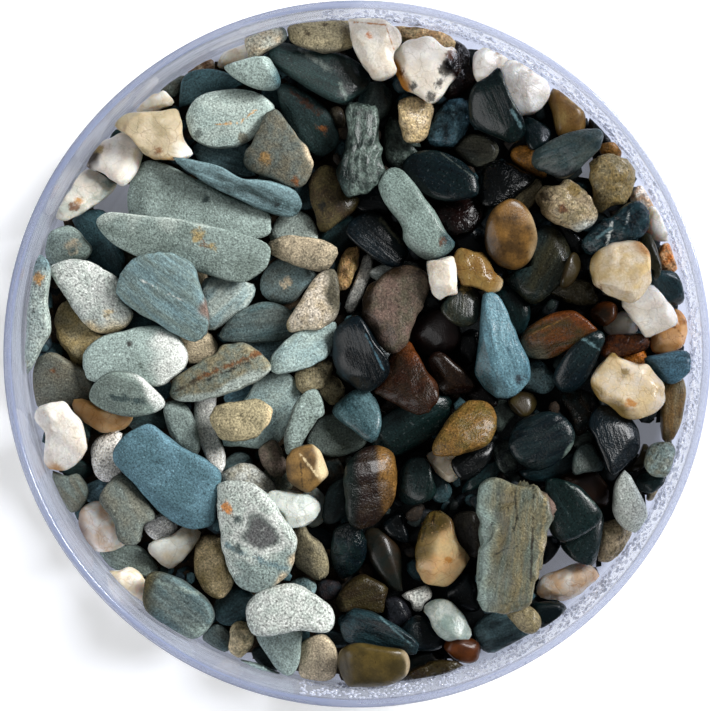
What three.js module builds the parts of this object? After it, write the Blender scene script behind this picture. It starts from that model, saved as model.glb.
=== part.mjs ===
// River gravel in a clear, shallow, round dish: water-worn pebbles, slate flakes and quartz chips,
// heaped loose in layers. Millimetres, +Z up. The origin is the centre of the dish's underside.
// The stones of the top layer are solids of their own. The small stones under and between them
// are one solid, gravel_bed, whose skin runs over the top of every one of them.
import * as THREE from 'three';
import { mergeVertices } from 'three/addons/utils/BufferGeometryUtils.js';

// Driving dimensions
const DISH_DIAMETER = 90;
const DISH_HEIGHT = 15;
const WALL = 1;
const FLOOR = 1;
const GAP = 0.3;

// The dish
const DRAFT = 0.4;
const EDGE = 0.5;
const DISH_SEGMENTS = 72;
const RIM_RADIUS = DISH_DIAMETER / 2;
const BASE_RADIUS = RIM_RADIUS - DRAFT;
const FILL_RADIUS = BASE_RADIUS - WALL - GAP;

// The height map on which the stones settle
const CELL = 0.25;
const SIDE_CLEARANCE = 0.15;
const MAP_HALF = Math.ceil(RIM_RADIUS / CELL);
const MAP_SIDE = 2 * MAP_HALF + 1;
const LEANS = [0.12, 0.24, 0.36];
const LEAN_DIRECTIONS = 8;

// Stones on the floor where the others leave it free, spread like the seeds of a sunflower
const FILLER_COUNT = 220;
const FILLER_RADIUS = 41;
const FILLER = { length: 5.6, width: 4.2, thick: 2.8, edge: 2.2, corners: 8 };
const GOLDEN_ANGLE = Math.PI * (3 - Math.sqrt(5));
const FILLER_TURN = 5 * GOLDEN_ANGLE;

// Places where the pale floor shows between the stones: x, y, radius
const OPEN_FLOOR = [
  [-31.5, 19.5, 3.2], [27, -26.5, 4.5], [38, -11, 2.6], [37.5, -23, 2.4], [29.5, 24.5, 1.6],
  [-31, -28.5, 2.2],
];

// The skin of the small stones
const SKIN_RINGS = 24;
const SKIN_REACH = 0.9;
const SKIN_THICKNESS = 0.4;
const SKIN_OVERLAP = 0.1;

// Stone surfaces. An outline with few points gets one more on every second stretch of its curve.
const DIRECTIONS = 72;
const CURVE_STEPS = 6;
const SHOULDER = 0.8;
const FEW_POINTS = 10;
const WELD_DISTANCE = 1e-4;

// Colours of the stones when seen dry
const COLOURS = {
  white: 0xe9e6df, cream: 0xe4d3b3, ochre: 0xc79a5b, tan: 0xa88d6a, brown: 0x7b5f49,
  redBrown: 0x7a4632, olive: 0x6d6a50, grey: 0x9a9d96, paleGrey: 0xc3c8c2, greenGrey: 0x97a5a0,
  blueGrey: 0x7f959d, teal: 0x4f6f74, slate: 0x3d484b, navy: 0x28323c,
};

// The stones of the top layer, lowest first: name, colour, thickness, how square the edge is
// (2 is an ellipse), and the outline seen from above, as points of a smooth closed curve
const TOP_STONES = [
  ['dark_green_slab', 'slate', 3.4, 2.5, [
    [-11.4, 39], [-9.6, 40.3], [-6.2, 39.6], [-1.3, 38.6], [1.4, 36.4], [1.3, 34.7], [-0.6, 33.1],
    [-2.1, 32.5], [-5.3, 33.9], [-8.7, 35.9], [-10.9, 37.7]]],
  ['long_green_grey', 'greenGrey', 3.4, 2.4, [
    [-29.8, 18.9], [-29.4, 22.4], [-28, 24.5], [-26.4, 25], [-24.1, 24.2], [-20.5, 22.3], [-15.1, 19.7],
    [-12.2, 18.5], [-11.7, 17.1], [-12.6, 15.3], [-20.3, 14.1], [-28.1, 15.8]]],
  ['ochre_stained_quartz', 'white', 3.6, 2.8, [
    [-39.6, 19.3], [-39.2, 17.9], [-38.3, 17.3], [-36.9, 17.9], [-35.1, 19], [-33.4, 20.2],
    [-31.7, 21.9], [-32.1, 22.4], [-33.5, 23.3], [-35.1, 24], [-36.4, 23.4], [-37.6, 22],
    [-39.1, 20.1]]],
  ['streaked_navy_lump', 'navy', 3.6, 2.6, [
    [29, 14.4], [30.2, 15.7], [31.5, 17], [33.7, 18.5], [35.6, 19.5], [37.2, 19], [37.7, 17.3],
    [37.3, 15.9], [36, 14.8], [33.4, 14], [31.2, 13.2], [29.9, 13.2]]],
  ['dark_rounded_triangle', 'slate', 3.6, 2.3, [
    [30.1, -9.1], [31.1, -7.1], [32.9, -7.1], [35.1, -8.2], [36.4, -9.9], [36.5, -12.3], [35.1, -14],
    [33.4, -15.3], [32.5, -15], [31.5, -12.8], [30.7, -10.6]]],
  ['red_brown_pebble', 'redBrown', 3.6, 2.3, [
    [2.3, -4.9], [3.6, -3], [4.4, -0.1], [6.5, 1.3], [7.6, 0.2], [9.1, -2.2], [10.2, -4.2],
    [10.4, -5.7], [9.1, -7.8], [7, -7.5], [5.1, -6.4], [3.2, -5.3]]],
  ['rust_edged_quartz', 'white', 3.8, 3, [
    [4.7, 38.5], [5.2, 39.4], [6.2, 40.4], [7.5, 40.9], [9.5, 40.8], [11.4, 39.8], [12.4, 39.8],
    [13, 38.7], [13.3, 36.8], [13.1, 36.1], [11.4, 34.2], [10.4, 33], [9.5, 32.6], [8.2, 33.3],
    [6.6, 34.2], [5.6, 35.5], [4.9, 36.8]]],
  ['pale_blue_oval', 'blueGrey', 3.4, 2.4, [
    [-11.1, -1.2], [-10.6, 0.2], [-8.7, 2.2], [-5.8, 3.4], [-3.2, 4], [-3.2, 1.4], [-4, -0.4],
    [-6.6, -1.8], [-9.6, -2.5], [-11, -2]]],
  ['dark_green_oval', 'teal', 3.4, 2.3, [
    [24.4, -16.7], [26.2, -16.2], [28.5, -17], [30.4, -18.8], [31.5, -20.5], [30.8, -22.2],
    [28.9, -23.5], [26.7, -24.2], [25.4, -23.1], [24.5, -19.6]]],
  ['navy_blade', 'navy', 2.6, 2.6, [
    [-2.2, -35.2], [-0.3, -33.4], [1.7, -33.7], [3.6, -34.6], [6.6, -36.5], [7.9, -38], [7.3, -39],
    [3.6, -38.6], [0.7, -38.3], [-1.7, -37]]],
  ['white_quartz_chip', 'white', 3, 3, [
    [-11.5, -18.8], [-10.6, -17.9], [-8.2, -17.9], [-6.5, -18.3], [-5, -19.3], [-5, -20.5],
    [-5.7, -21.5], [-7.2, -22.5], [-8.7, -22.5], [-9.6, -20.7]]],
  ['rust_layered_slab', 'brown', 3.4, 2.6, [
    [21.3, 1.8], [22.5, 3.4], [24.4, 4.8], [26.9, 5.4], [28.4, 5.2], [31, 3.4], [30.7, 2.9], [28, 1.1],
    [25.8, -0.4], [23.3, -0.6], [22, 0]]],
  ['brown_stained_quartz', 'white', 3.8, 2.8, [
    [-35.4, 24.8], [-34.6, 26.3], [-33.5, 27.4], [-32.2, 28], [-30.8, 28.7], [-29.5, 28.4],
    [-28.7, 27.6], [-28.1, 26.3], [-28.2, 25], [-28.7, 23.8], [-29.7, 22.2], [-30.5, 21.6],
    [-32.1, 22.7], [-33.6, 23.8], [-34.8, 24.1]]],
  ['golden_quartz', 'ochre', 4.2, 2.6, [
    [7.7, -27.3], [7.9, -24.5], [8.7, -22.2], [9.5, -20.7], [10.8, -20.7], [12.4, -22], [12.9, -24.5],
    [14.6, -26.5], [14.6, -27.3], [12.9, -29.1], [11.4, -30.3], [9.8, -30.4], [8.3, -29.5]]],
  ['pitted_olive_oval', 'olive', 3.4, 2.5, [
    [-8.8, 41.8], [-8.5, 43], [-7.3, 43.4], [-4.7, 43.5], [-2.1, 43.5], [-0.9, 43.1], [-0.7, 41.5],
    [-0.7, 40], [-2.1, 39.4], [-4.5, 39.1], [-6.7, 39.5], [-8.2, 40.3]]],
  ['beige_quartz_block', 'cream', 4.2, 3, [
    [-31.2, 29.6], [-29.6, 31.1], [-26.6, 31.4], [-24.3, 31.6], [-23.5, 31.2], [-22.8, 29.6],
    [-22.4, 27.6], [-21.6, 26.1], [-23, 25.4], [-25.4, 25.2], [-26.6, 25.3], [-27.8, 26.3], [-29.1, 28],
    [-30.3, 28.8]]],
  ['speckled_olive_oval', 'olive', 3.2, 2.3, [
    [-14.4, 40.9], [-13, 41.9], [-11.2, 42.5], [-9.9, 42.5], [-9.1, 41.5], [-9.2, 40.5], [-10.3, 39.7],
    [-11.8, 39], [-13, 38.3], [-13.7, 38.2], [-14.1, 39.2]]],
  ['large_green_oval', 'greenGrey', 3.8, 2.2, [
    [-27.4, -30.8], [-27, -28.9], [-25.5, -28.5], [-22.9, -29.5], [-20.6, -31.4], [-19.2, -33],
    [-18.9, -34.8], [-20.3, -36.6], [-21.9, -37.1], [-24.3, -36.2], [-26.3, -34.5], [-27.4, -32.9]]],
  ['glittering_tan_quartzite', 'cream', 3.8, 2.7, [
    [23.6, 20], [24.3, 21.6], [26.1, 21.9], [27.3, 22.5], [29.6, 20.7], [31.1, 18.2], [29.6, 16.5],
    [28.4, 15.9], [26.1, 17], [23.9, 18.6]]],
  ['pale_grey_oval', 'paleGrey', 3.8, 2.4, [
    [-35.5, -1.1], [-35.3, 0.3], [-33.2, 2.2], [-30.3, 3], [-27, 3.5], [-25.1, 3.2], [-23.3, 1.8],
    [-22.4, -0.1], [-22.6, -1.8], [-24.3, -3.1], [-26.6, -4.2], [-34.1, -3.5], [-35.3, -2.2]]],
  ['dark_grey_oval', 'slate', 3.6, 2.3, [
    [5.9, 24.4], [6.9, 25.7], [8.7, 26.3], [10.8, 26.2], [13.2, 24.9], [15.1, 23], [15.5, 21.2],
    [14.6, 20.3], [11.3, 19.9], [8.7, 20.8], [6.6, 22.7]]],
  ['blue_teardrop', 'blueGrey', 4.2, 2.2, [
    [16.9, 7.8], [17.7, 7.6], [18.7, 6.7], [19.9, 4.2], [21.1, 1.6], [22.1, -0.5], [22.4, -2.6],
    [21.7, -4.1], [20.2, -5.3], [18.1, -5.4], [16.4, -4.1], [15.4, -2.3], [15.7, -0.4], [16, 2.5],
    [16.2, 5.4], [16.4, 7.1]]],
  ['pale_green_oval', 'greenGrey', 3.8, 2.3, [
    [-22.1, 30.2], [-21.7, 31.7], [-20.5, 33], [-18.6, 33.9], [-16.3, 34.3], [-14, 34.1], [-12.2, 33.2],
    [-11, 32], [-11.7, 31.1], [-13.1, 28.9], [-14.4, 27.8], [-16.1, 27], [-18.3, 26.8], [-20.2, 27.4],
    [-21.5, 28.4]]],
  ['pale_speckled_pebble', 'paleGrey', 3.8, 2.4, [
    [-39.8, 10.7], [-38.9, 11.6], [-37.1, 12], [-34.9, 11.8], [-33, 10.9], [-31.2, 9.6], [-31, 7.4],
    [-29.6, 5.8], [-29.4, 4.9], [-30.4, 3.6], [-33.2, 2.7], [-34.9, 3.2], [-36.3, 4.8], [-37.5, 7],
    [-39, 9.3]]],
  ['white_ochre_quartz', 'white', 4.2, 2.9, [
    [-42, -8.6], [-41.1, -7.1], [-38.5, -6.4], [-37.1, -7.5], [-35.7, -9.3], [-35.5, -12.4],
    [-37.5, -14.9], [-39.5, -15.1], [-41.2, -15.2], [-41.5, -14.4], [-40.7, -12], [-40.8, -10.2]]],
  ['ribbed_teal_bark', 'teal', 3.4, 3, [
    [-1.2, 31.9], [2.1, 32], [2.8, 30.7], [2.8, 27.9], [3.1, 24.9], [3.3, 23.6], [1.7, 21.2],
    [-0.1, 20.8], [-1.2, 20.4], [-2.1, 22.2], [-2.4, 24.4], [-1.5, 26.7], [-1.2, 28.9]]],
  ['dark_disc', 'slate', 3.6, 2.3, [
    [19.8, -11.1], [20.7, -9.3], [22.7, -8.1], [25.3, -7.7], [27, -8.5], [28, -10.2], [27.6, -12.2],
    [26.2, -13.9], [24.4, -14.9], [22.7, -14.9], [21.1, -13.9], [19.9, -12.4]]],
  ['pitted_band_slab', 'grey', 3.8, 2.6, [
    [-24.3, -4.7], [-23.7, -3.1], [-21.4, -1.8], [-18.4, 0], [-17.4, 1.2], [-15, 1.2], [-13.1, 0.4],
    [-11.4, -1.1], [-11.4, -2.3], [-13.1, -3.5], [-15, -4.2], [-18.4, -5.5], [-22.3, -6.2],
    [-24.1, -5.6]]],
  ['brown_egg', 'tan', 4.4, 2.1, [
    [16.7, 15.8], [17.1, 17.6], [18.1, 19.1], [19.8, 19.9], [21.5, 19.2], [22.7, 17.3], [23.1, 15],
    [22.7, 12.9], [21.6, 11.5], [20.3, 11], [18.5, 11.6], [17.2, 12.9], [16.7, 14.3]]],
  ['brown_ridged_pebble', 'brown', 4.2, 2.5, [
    [1, 5.8], [1.3, 8.1], [2.8, 9.7], [4.7, 10.9], [7.3, 11.2], [8.7, 10.5], [9.2, 8.8], [8.7, 6.6],
    [7.4, 4], [6.1, 1.2], [4.9, 0.3], [3.7, 0.8], [2.1, 2.6], [1.1, 4.2]]],
  ['tall_brown_olive', 'tan', 4, 2.4, [
    [-0.9, -21.5], [-1.5, -18.8], [-1.5, -14.9], [-0.2, -13.1], [1.7, -12.2], [3.9, -12.7],
    [4.9, -14.4], [5.1, -18], [3.9, -20.2], [2.4, -22], [0.3, -22.4]]],
  ['speckled_grey_wedge', 'grey', 3.2, 2.6, [
    [-9.4, -12], [-9.1, -9.6], [-8.1, -6.8], [-6.8, -5.1], [-5.4, -4.7], [-4.7, -6], [-4.3, -7.8],
    [-5.2, -8.6], [-6.5, -10.5], [-7.7, -12.4], [-9, -13]]],
  ['sandy_golden_pebble', 'tan', 4.2, 2.2, [
    [10, -12.2], [10.6, -10.4], [12.6, -7.5], [14.6, -6.3], [16.6, -6.3], [17.7, -7.7], [18, -9.3],
    [17.2, -11.1], [15, -12.4], [12.6, -13], [10.6, -13]]],
  ['long_dark_pebble', 'slate', 3.4, 2.2, [
    [22.9, 25.7], [23.6, 26.6], [25.2, 27.4], [26.9, 28.3], [28.8, 28.8], [30.4, 28.9], [31.4, 28.5],
    [31.5, 27.4], [31.1, 26.3], [30.1, 25.3], [28.8, 24], [27.5, 23], [26.2, 22.7], [24.3, 23.5],
    [23, 24.3]]],
  ['speckled_wall_stone', 'grey', 3.4, 2.4, [
    [-43.8, -2.6], [-43.4, -0.1], [-43, 3.4], [-42.4, 7.4], [-42, 11.2], [-41.2, 12.7], [-40.1, 11.8],
    [-39.7, 10.5], [-40.1, 7.4], [-39.9, 3.4], [-41.1, 1.1], [-42.2, -1.1], [-43.3, -2.7]]],
  ['long_grey_flat', 'grey', 2.8, 2.6, [
    [-33.2, 17], [-32.3, 17.9], [-30.8, 18.1], [-24.3, 17.4], [-18.3, 16.3], [-14.4, 15.2],
    [-12.2, 14.3], [-11.7, 13.2], [-12.2, 11.5], [-13.7, 10.1], [-15, 9.4], [-17, 9.6], [-20.7, 10.7],
    [-26.6, 11.9], [-30.5, 13.7], [-32.2, 15.2]]],
  ['large_blue_grey', 'blueGrey', 4.4, 2.3, [
    [-31.3, -12.7], [-30.4, -11.2], [-28.2, -9.8], [-26.6, -9.4], [-24.7, -10.8], [-21.7, -12.6],
    [-19.3, -14.2], [-18.1, -15.6], [-18.5, -19.1], [-18.9, -21.8], [-20.6, -22.5], [-22.6, -22.4],
    [-25.2, -21], [-27, -19.1], [-29.2, -16.6], [-30.4, -15.1], [-31.2, -14.2]]],
  ['dark_green_triangle', 'slate', 3.6, 2.5, [
    [18, 36.5], [18.5, 36.3], [19.1, 34.7], [20, 32.8], [21.1, 30.8], [21.6, 29.2], [21.2, 28],
    [20, 27.4], [18.5, 27.9], [16.6, 28.7], [15, 29.6], [14.6, 31.2], [14.7, 33.4], [15.5, 34.8],
    [16.9, 35.5]]],
  ['speckled_half_moon', 'paleGrey', 4, 2.4, [
    [-14.4, -34], [-13.9, -32.1], [-11.9, -30.7], [-9.1, -30], [-6.4, -30.7], [-4.2, -32.1], [-3, -34],
    [-3.9, -35.6], [-5.8, -35.8], [-9.1, -36], [-12.7, -36.6], [-14, -35.8]]],
  ['large_olive_oval', 'olive', 3.8, 2.3, [
    [-2.5, -39.7], [-1.6, -38.1], [0.7, -37.6], [3.7, -38], [5.9, -38.5], [6.6, -40.1], [6.1, -41.8],
    [3.9, -43], [1.3, -43.8], [-0.9, -43.3], [-2.1, -41.8]]],
  ['speckled_cream_triangle', 'cream', 3.4, 2.7, [
    [-9, 4.2], [-8.1, 5.8], [-6.5, 8.3], [-5.2, 10.1], [-3.8, 10.9], [-2.8, 10.5], [-2.4, 7],
    [-2.8, 4.8], [-4.3, 3.8], [-7.2, 3.2], [-8.7, 2.9]]],
  ['cream_quartz_lump', 'cream', 4, 2.8, [
    [-0.9, 44.1], [0.7, 44.1], [1.7, 43.6], [3.3, 43.1], [4.6, 42.2], [5.6, 41.2], [5.6, 40], [4.9, 39],
    [4.7, 37.9], [5.1, 36.5], [3.8, 35.6], [2.2, 35.6], [1.6, 36.3], [0.6, 37.7], [0, 39], [-0.6, 40.5],
    [-0.9, 42.5]]],
  ['two_tone_blade', 'blueGrey', 3.4, 2.5, [
    [-23.5, 25.2], [-20.1, 24.8], [-17.5, 24.2], [-14.9, 22.8], [-12.1, 22.5], [-10.9, 22.3],
    [-8.8, 21.5], [-7.6, 20.1], [-7.7, 18.9], [-9, 17.9], [-12, 18.5], [-14.9, 19.8], [-19.8, 22.3]]],
  ['dark_blue_oval', 'navy', 3.2, 2.2, [
    [25.6, -3], [26, -1.5], [27.6, 0.7], [29.9, 2.5], [31.3, 2.9], [31.9, 2.2], [31.7, 1.1],
    [30.6, -1.5], [29.5, -3.7], [28, -4.8], [26.5, -4.7], [25.8, -3.8]]],
  ['granular_brown_triangle', 'tan', 3.6, 2.5, [
    [-11.1, 31.6], [-10.3, 31.5], [-9, 29.8], [-7.5, 27.8], [-6.3, 26], [-5.8, 24.7], [-6.1, 23.4],
    [-6.7, 22.4], [-7.9, 21.6], [-9.8, 22.3], [-12.1, 23.2], [-13.9, 23.9], [-14.7, 25], [-14.4, 26.3],
    [-13.5, 27.8], [-12.6, 29.6], [-11.8, 31.1]]],
  ['orange_layered_pebble', 'ochre', 4, 2.5, [
    [-9, -13.8], [-8, -12.3], [-6.1, -11.9], [-4.7, -13], [-3.9, -15.1], [-4, -16], [-5.2, -17.1],
    [-6.5, -17.9], [-8, -17.1], [-8.9, -16]]],
  ['pale_teal_bean', 'greenGrey', 4, 2.3, [
    [3, 22.3], [3.9, 23.7], [5.5, 23.9], [7.3, 22.1], [8.7, 20.2], [10, 18.4], [11.3, 16], [12.4, 14.7],
    [12.4, 14.1], [11.4, 13], [9.6, 12.3], [7.7, 13], [6.1, 14.8], [5.9, 16.5], [3.9, 19.3],
    [3, 21.4]]],
  ['teal_tipped_teardrop', 'paleGrey', 3.2, 2.3, [
    [-16.9, 36.9], [-16, 37.4], [-14.3, 37.9], [-12.6, 38.2], [-11.3, 38.1], [-10.6, 37.2],
    [-9.9, 35.5], [-10.2, 34.5], [-11.1, 34.1], [-12.6, 34.2], [-14.3, 34.9], [-15.8, 35.8]]],
  ['tan_lump', 'ochre', 3.4, 2.4, [
    [12.5, 12.1], [13.3, 13.7], [15, 13.3], [16.5, 13], [17.7, 10.7], [18.8, 9.7], [18.5, 8.5],
    [17.2, 8], [16.1, 8.5], [15, 8.8], [13.2, 9.2]]],
  ['cream_lumpy_quartz', 'cream', 4.4, 2.7, [
    [30.5, -3.8], [30.9, -2.3], [32.1, -1.1], [33.2, -0.1], [34.2, -0.8], [36.2, -1.4], [37.3, -1.4],
    [38.6, -2.5], [39.5, -4], [39.4, -6], [38.2, -7.4], [36.2, -8.3], [34.4, -7.8], [32.7, -6.4],
    [31.3, -5.5]]],
  ['black_blue_pebble', 'navy', 4, 2.2, [
    [-3.1, 0.7], [-2.7, 3], [-1.2, 4.4], [0.2, 4.8], [1.4, 3.4], [2.5, 1.5], [3.9, -0.8], [3.9, -2.5],
    [2.5, -4], [1, -4.7], [-0.8, -3.8], [-2.3, -2.5], [-3.1, -0.8]]],
  ['banded_grey_wedge', 'grey', 3.4, 2.3, [
    [-34.7, -5.6], [-33.9, -3.8], [-32, -2.5], [-29.8, -2.4], [-28, -3], [-26.1, -4.7], [-25.1, -6],
    [-25.3, -7], [-26.9, -7.8], [-29.4, -8], [-32, -7.6], [-33.9, -6.7]]],
  ['layered_tan_slab', 'tan', 4.4, 2.8, [
    [16, -18.6], [16.5, -16.8], [18.6, -16.4], [20.5, -16.9], [22.8, -17.3], [24.4, -18.6],
    [25.3, -20.1], [24.7, -22], [24, -23.6], [23.5, -26.8], [22.8, -30.6], [22.3, -32.3], [19.9, -32.8],
    [17.3, -33.2], [16.1, -32.3], [15.8, -28.7], [15.9, -22.8]]],
  ['blue_grey_triangle', 'blueGrey', 3.8, 2.3, [
    [-30.9, 8.5], [-30.1, 10.5], [-28, 12.3], [-25.3, 13], [-23.1, 12.6], [-21.2, 11.2], [-20.5, 8.8],
    [-19.6, 5.8], [-19.6, 3.4], [-20.5, 2], [-21.7, 1.7], [-23.5, 2.5], [-26.1, 4.2], [-29.1, 6],
    [-30.6, 7.4]]],
  ['tan_oval', 'cream', 3.4, 2.2, [
    [-18.9, -8.4], [-17.9, -6.7], [-14.9, -6.1], [-13, -5.8], [-11.3, -7.1], [-11.6, -8.9],
    [-13, -10.5], [-14.9, -11.1], [-17.5, -11]]],
  ['ochre_cream_pebble', 'cream', 4.2, 2.2, [
    [29.9, 11], [30.5, 12.5], [32.1, 13.8], [34.2, 14.6], [36.2, 14.2], [37.3, 12.9], [37.8, 10.8],
    [37.7, 8.8], [36.9, 7.4], [35.7, 6.7], [33.9, 7.1], [32.3, 7.9], [30.6, 9.3]]],
  ['banded_eye_stone', 'paleGrey', 4.4, 2.3, [
    [-18, -16.9], [-16.2, -16.4], [-13, -17.1], [-10.9, -18.9], [-9.3, -21.4], [-8, -23.9],
    [-8.3, -26.8], [-9.8, -29], [-12.6, -30.6], [-14.5, -30.5], [-16.2, -29.1], [-17.2, -26],
    [-17.6, -22.8], [-17.9, -18.9]]],
  ['white_quartz_cube', 'white', 3.6, 3.2, [
    [9.1, 11.7], [10.4, 12.1], [12.2, 12.5], [12.9, 11.1], [12.9, 9.3], [12.8, 7.8], [11.6, 7.6],
    [10.7, 7.1], [9.8, 7.9], [9.3, 9.9]]],
];

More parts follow.
